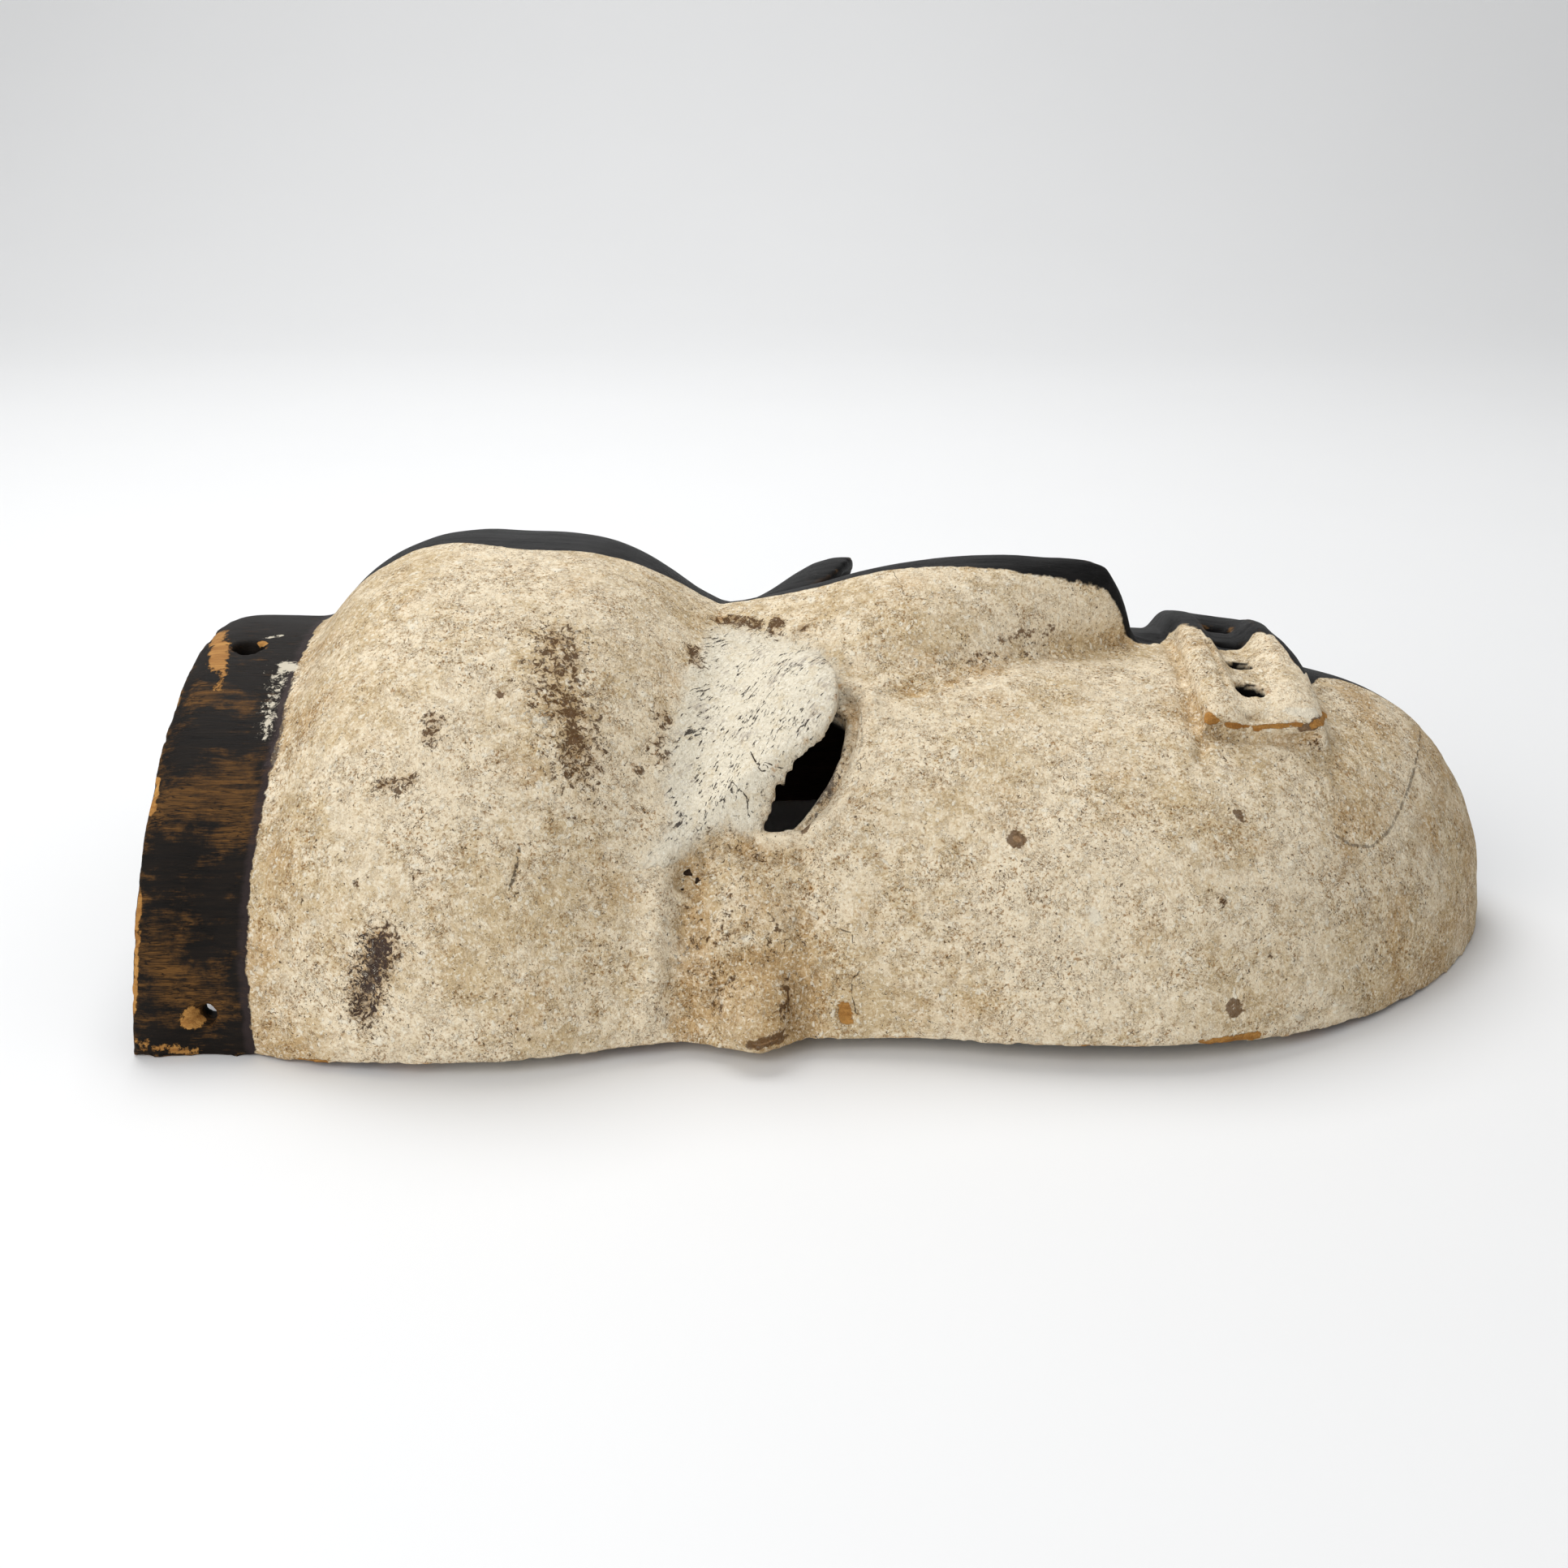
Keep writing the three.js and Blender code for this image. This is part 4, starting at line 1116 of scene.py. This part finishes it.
def dark_paint(ground, coal, arris):
    """The charcoal, worn brown here and there, dusty and cracked along the fibres."""
    n, place = ground.n, ground.place
    colour = n.mix(coal["Tone"], shade(8, 8, 8), rgba(ground.colours.charcoal))
    edges = n.times(n.step(arris, 2.0, 0.0), 0.25)
    worn = n.step(n.plus(n.noise(place, 12.0, 4.0, 0.6), edges), 0.66, 0.8)
    colour = n.mix(n.times(worn, 0.4), colour, shade(72, 54, 38))
    dusty = n.times(n.step(n.noise(place, 1.4, 4.0, 0.75), 0.62, 0.74), 0.3)
    colour = n.mix(dusty, colour, shade(92, 88, 82))
    return n.mix(n.times(coal["Cracks"], 0.8), colour, shade(14, 14, 15))


def band_stain(ground, fibres):
    """The dark stain of the band and where it is rubbed brown, sooty beside the face: colour and rubbing."""
    n, place, colours = ground.n, ground.place, ground.colours
    uneven = n.plus(n.noise(place, 7.0, 5.0, 0.7), n.swing(fibres["Tone"], 0.2))
    rubbed = n.step(n.plus(n.attribute("rub"), n.swing(uneven, 1.9)), 0.12, 0.75)
    brown = n.mix(fibres["Tone"], shade(60, 42, 24), rgba(colours.rubbed))
    colour = n.mix(fibres["Tone"], shade(11, 8, 6), rgba(colours.band))
    colour = n.mix(n.times(rubbed, 0.85), colour, brown)
    colour = n.mix(n.times(fibres["Cracks"], 0.85), colour, shade(10, 8, 7))
    beside = n.step(n.plus(n.attribute("face"), n.times(n.noise(place, 3.0, 3.0), 3.0)), -1.2, 0.6)
    return n.mix(n.times(beside, 0.7), colour, shade(54, 44, 44)), rubbed


def patches(ground, kind, low, high, size, share):
    """Where a mark is strong, broken up into patches of a size in millimetres."""
    n = ground.n
    patchy = n.plus(n.attribute(kind), n.swing(n.noise(ground.place, size, 4.0, 0.7), share))
    return n.step(patchy, low, high)


def crumbs(ground, specks, kind, low, high, pull):
    """Specks that crowd together where a mark is strong."""
    n = ground.n
    crowd = n.plus(specks, n.times(n.attribute(kind), pull))
    return n.times(n.step(crowd, low, high), n.step(n.attribute(kind), 0.02, 0.12))


def marks_of_age(ground, colour, bare):
    """Stains, dirt, soot with painted shade, bare ochre wood and fresh chalk: the new colour, and where dirt
    and ochre lie.
    """
    n, place, colours = ground.n, ground.place, ground.colours
    specks = n.noise(place, 1.5, 4.0, 0.78, 0.8)
    middle = n.step(n.plus(n.attribute("rust"), n.times(specks, 0.3)), 0.95, 1.05)
    stain = n.mix(middle, shade(96, 66, 38), n.mix(specks, shade(158, 124, 88), rgba(colours.rust)))
    colour = n.mix(n.times(patches(ground, "rust", 0.36, 0.5, 1.6, 1.0), 0.85), colour, stain)
    dusty = patches(ground, "dirt", 0.3, 0.8, 3.0, 1.0)
    colour = n.mix(n.times(dusty, 0.5), colour, shade(158, 122, 76))
    dirt = crumbs(ground, specks, "dirt", 0.66, 0.7, 0.26)
    earth = n.mix(n.noise(place, 2.0), rgba(colours.dirt), shade(92, 58, 28))
    colour = n.mix(n.times(dirt, 0.85), colour, earth)
    # Soot on the scar and beside the band, and painted shade on the slope into the eye opening
    soot_and_shade_patches = patches(ground, "soot_and_shade", 0.55, 0.8, 1.4, 0.8)
    soot_and_shade = n.math("MAXIMUM", crumbs(ground, specks, "soot_and_shade", 0.64, 0.7, 0.26), soot_and_shade_patches)
    colour = n.mix(n.times(soot_and_shade, 0.8), colour, n.mix(specks, rgba(colours.soot_and_shade), shade(40, 34, 36)))
    ochre = patches(ground, "ochre", 0.38, 0.48, 1.4, 0.7)
    colour = n.mix(ochre, colour, bare)
    chalky = patches(ground, "chalk", 0.5, 0.62, 1.6, 1.1)
    white = n.math("MAXIMUM", crumbs(ground, specks, "chalk", 0.7, 0.78, 0.3), chalky)
    return n.mix(n.times(white, 0.75), colour, rgba(colours.chalk)), dirt, ochre


def worn_arrises(ground, arris, on_pale):
    """Where the arrises are worn down to bare wood, more often on the pale half."""
    n = ground.n
    wear = n.times(n.step(arris, 1.3, 0.3), n.step(n.noise(ground.place, 8.0, 5.0, 0.7), 0.54, 0.62))
    return n.times(wear, n.plus(n.times(on_pale, 0.4), 0.35))


def fine_lines(ground):
    """Thin drawn or cracked lines that waver and break off here and there."""
    n, place = ground.n, ground.place
    off = n.math("ABSOLUTE", n.plus(n.attribute("line_side"), n.swing(n.noise(place, 1.6), 0.5)))
    thin = n.step(n.math("DIVIDE", off, n.attribute("line_width")), 1.3, 0.4)
    thin = n.times(thin, n.step(n.noise(place, 1.3, 2.0), 0.34, 0.5))
    return n.times(n.times(thin, n.step(n.attribute("line_near"), 0.3, 0.6)), n.attribute("line_dark"))


def rim_wood(ground, bare):
    """The bare wood of the rim, smoky here and there."""
    n = ground.n
    smoky = n.step(n.noise(ground.place, 9.0, 4.0, 0.6), 0.42, 0.6)
    return n.mix(smoky, shade(92, 64, 38), bare)


def hollow_wood(ground, fibres):
    """The darkened bare wood of the hollow."""
    n = ground.n
    colour = n.mix(fibres["Tone"], rgba(ground.colours.hollow), shade(38, 27, 19))
    cloudy = n.step(n.noise(ground.place, 22.0, 4.0, 0.6), 0.4, 0.7)
    return n.mix(cloudy, colour, shade(46, 34, 25))


def paint_material(colours):
    """Kaolin, charcoal, stained band and bare wood, laid over each other where the stored values say."""
    material = bpy.data.materials.new("painted_wood")
    material.use_nodes = True
    material.node_tree.nodes.clear()
    n = Nodes(material.node_tree)
    own = n.add("ShaderNodeTexCoord").outputs["Object"]
    place = n.vector("MULTIPLY", own, (MM, MM, MM))
    ground = Ground(n, place, colours, ragged_group(), grain_group())
    arris = n.attribute("arris")

    # Bare wood lies under everything.
    bare = n.mix(fibres_of(ground, 0.5, 14.0)["Tone"], rgba(colours.wood), shade(150, 100, 48))
    coal = fibres_of(ground, 0.45, 16.0)
    band = fibres_of(ground, 0.3, 14.0)
    inner = fibres_of(ground, 0.8, 12.0)

    pale, pale_height = pale_paint(ground, border(ground, "lid", 0.2, 8.0, 2.4, 2.4))
    on_pale = border(ground, "pale", 0.0, 1.6, 2.4, 0.22)
    colour = n.mix(on_pale, dark_paint(ground, coal, arris), pale)
    stain, rubbed = band_stain(ground, band)
    on_face = border(ground, "face", 0.0, 3.2, 3.0, 0.25)
    colour = n.mix(on_face, stain, colour)

    colour, dirt, ochre = marks_of_age(ground, colour, bare)
    colour = n.mix(worn_arrises(ground, arris, on_pale), colour, bare)
    # Painted shade: the walls of the eye opening, the slots and the bored holes are painted near black.
    colour = n.mix(n.attribute("painted_opening_shade"), colour, shade(16, 15, 16))
    line = fine_lines(ground)
    colour = n.mix(line, colour, shade(52, 40, 32))

    on_rim = n.attribute("rim")
    colour = n.mix(on_rim, colour, rim_wood(ground, bare))
    on_hollow = border(ground, "hollow", 0.0, 0.8, 2.0, 0.3)
    colour = n.mix(on_hollow, colour, hollow_wood(ground, inner))

    # Heights in millimetres
    height = n.blend(on_pale, n.times(coal["Height"], 0.16), n.plus(pale_height, 0.18))
    height = n.blend(on_face, n.times(band["Height"], 0.16), height)
    height = n.blend(on_hollow, height, n.times(inner["Height"], 0.3))
    height = n.minus(height, n.times(n.plus(dirt, ochre), 0.2))
    height = n.minus(height, n.times(line, 0.25))

    # The kaolin is matt, the charcoal and the band have a dull shine from handling.
    dullness = n.blend(on_pale, n.blend(coal["Tone"], 0.62, 0.5), 0.95)
    dullness = n.blend(on_face, n.blend(rubbed, 0.62, 0.7), dullness)
    dullness = n.blend(n.math("MAXIMUM", on_hollow, on_rim), dullness, 0.72)

    bump = n.add("ShaderNodeBump", {"Height": height, "Distance": 1 / MM, "Strength": 1.0})
    surface = {"Base Color": colour, "Roughness": dullness, "Normal": bump.outputs["Normal"]}
    shader = n.add("ShaderNodeBsdfPrincipled", surface)
    shader.inputs["Specular IOR Level"].default_value = 0.14
    n.add("ShaderNodeOutputMaterial", {"Surface": shader.outputs["BSDF"]})
    return material


class OBJECT_OT_carved_mask(bpy.types.Operator):
    """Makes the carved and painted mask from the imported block"""

    bl_idname = "object.carved_mask"
    bl_label = "Carved mask"

    def execute(self, context):
        scene = context.scene
        sizes = scene.mask_sizes
        piece = copy_of_node("mask", "carved_mask")
        block = Block(piece.data)
        finish_modifier(piece, "REMESH", mode="VOXEL", voxel_size=sizes.grain, adaptivity=0)
        melt_facets(piece.data, block, sizes)
        carve_relief(piece.data, block, sizes)
        keep_in_box(piece.data)
        finish_modifier(piece, "TRIANGULATE")
        finish_modifier(piece, "DECIMATE", ratio=min(1, sizes.triangles / len(piece.data.polygons)))
        keep_in_box(piece.data)
        store_paint(piece.data, block)
        piece.data.materials.clear()
        piece.data.materials.append(paint_material(scene.mask_colours))
        piece.data.shade_smooth()
        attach(piece, "root")
        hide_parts("mask")
        return {"FINISHED"}


def floor_material(colour):
    """White paper with faint scuffs."""
    material = bpy.data.materials.new("pale_paper")
    material.use_nodes = True
    n = Nodes(material.node_tree)
    shader = material.node_tree.nodes["Principled BSDF"]
    place = n.vector("MULTIPLY", n.add("ShaderNodeTexCoord").outputs["Object"], (MM, MM, MM))
    dull = tuple(0.97 * v for v in colour)
    tone = n.mix(n.noise(place, 140.0, 3.0, 0.5), rgba(colour), rgba(dull))
    n.set(shader.inputs["Base Color"], tone)
    shader.inputs["Roughness"].default_value = 0.6
    shader.inputs["Specular IOR Level"].default_value = 0.25
    return material


def sweep():
    """A floor that turns up into a wall behind the mask, as one bent sheet."""
    near, turn, radius, top, half_width = -1.6, 0.8, 0.5, 2.0, 3.0
    profile = [(near, 0), (turn, 0)]
    for k in range(1, 13):
        angle = k / 12 * math.pi / 2
        profile.append((turn + radius * math.sin(angle), radius * (1 - math.cos(angle))))
    profile.append((turn + radius, top))
    bpy.ops.mesh.primitive_plane_add(size=1)
    floor = bpy.context.active_object
    floor.name = floor.data.name = "paper_floor"
    sheet = bmesh.new()
    rows = [[sheet.verts.new((x, y, z)) for x in (-half_width, half_width)] for y, z in profile]
    for (a, b), (c, d) in zip(rows, rows[1:]):
        sheet.faces.new((a, b, d, c))
    sheet.to_mesh(floor.data)
    sheet.free()
    floor.data.shade_smooth()
    return floor


def soft_lamp(name, place, size, power):
    """A square lamp that faces the mask."""
    bpy.ops.object.light_add(type="AREA", location=place)
    lamp = bpy.context.active_object
    lamp.name = name
    lamp.rotation_euler = (-place).to_track_quat("-Z", "Y").to_euler()
    lamp.data.shape = "SQUARE"
    lamp.data.size = size
    lamp.data.energy = power


class OBJECT_OT_mask_stage(bpy.types.Operator):
    """Makes the pale floor, the studio light and the camera"""

    bl_idname = "object.mask_stage"
    bl_label = "Stage"

    def execute(self, context):
        scene = context.scene
        settings = scene.mask_stage
        bpy.ops.object.select_all(action="DESELECT")
        floor = sweep()
        floor.data.materials.append(floor_material(settings.floor))

        soft_lamp("lamp_behind", LAMP_PLACE, settings.lamp_size, settings.lamp)
        soft_lamp("lamp_beside_camera", FILL_PLACE, settings.fill_size, settings.fill)

        world = bpy.data.worlds.new("white_room")
        scene.world = world
        world.use_nodes = True
        world.node_tree.nodes["Background"].inputs["Color"].default_value = (1, 1, 1, 1)
        world.node_tree.nodes["Background"].inputs["Strength"].default_value = settings.sky

        bpy.ops.object.camera_add(location=camera_place() / MM, rotation=(math.pi / 2 - CAMERA_RISE, 0, 0))
        camera = context.active_object
        camera.name = "photo_camera"
        camera.data.sensor_width = SENSOR
        camera.data.lens = FOCAL_PIXELS / PHOTO_SIDE * SENSOR
        camera.data.clip_start = 0.01
        scene.camera = camera
        scene.view_settings.view_transform = "Standard"
        return {"FINISHED"}


class VIEW3D_PT_carved_mask(bpy.types.Panel):
    """The mask's steps, sizes and colours"""

    bl_idname = "VIEW3D_PT_carved_mask"
    bl_label = "Mask"
    bl_space_type = "VIEW_3D"
    bl_region_type = "UI"
    bl_category = "Mask"

    def draw(self, context):
        for operator in OPERATORS:
            self.layout.operator(operator.bl_idname)
        for group in GROUPS:
            box = self.layout.box()
            for name in group.__annotations__:
                box.prop(getattr(context.scene, GROUPS[group]), name)


GROUPS = {MaskSizes: "mask_sizes", MaskColours: "mask_colours", StageSettings: "mask_stage"}
OPERATORS = (OBJECT_OT_carved_mask, OBJECT_OT_mask_stage)
CLASSES = (*GROUPS, *OPERATORS, VIEW3D_PT_carved_mask)


def register():
    for cls in CLASSES:
        bpy.utils.register_class(cls)
    for group, name in GROUPS.items():
        setattr(bpy.types.Scene, name, bpy.props.PointerProperty(type=group))


def unregister():
    for name in GROUPS.values():
        delattr(bpy.types.Scene, name)
    for cls in reversed(CLASSES):
        bpy.utils.unregister_class(cls)


def main():
    register()
    bpy.ops.object.carved_mask()
    bpy.ops.object.mask_stage()


if __name__ == "__main__":
    main()
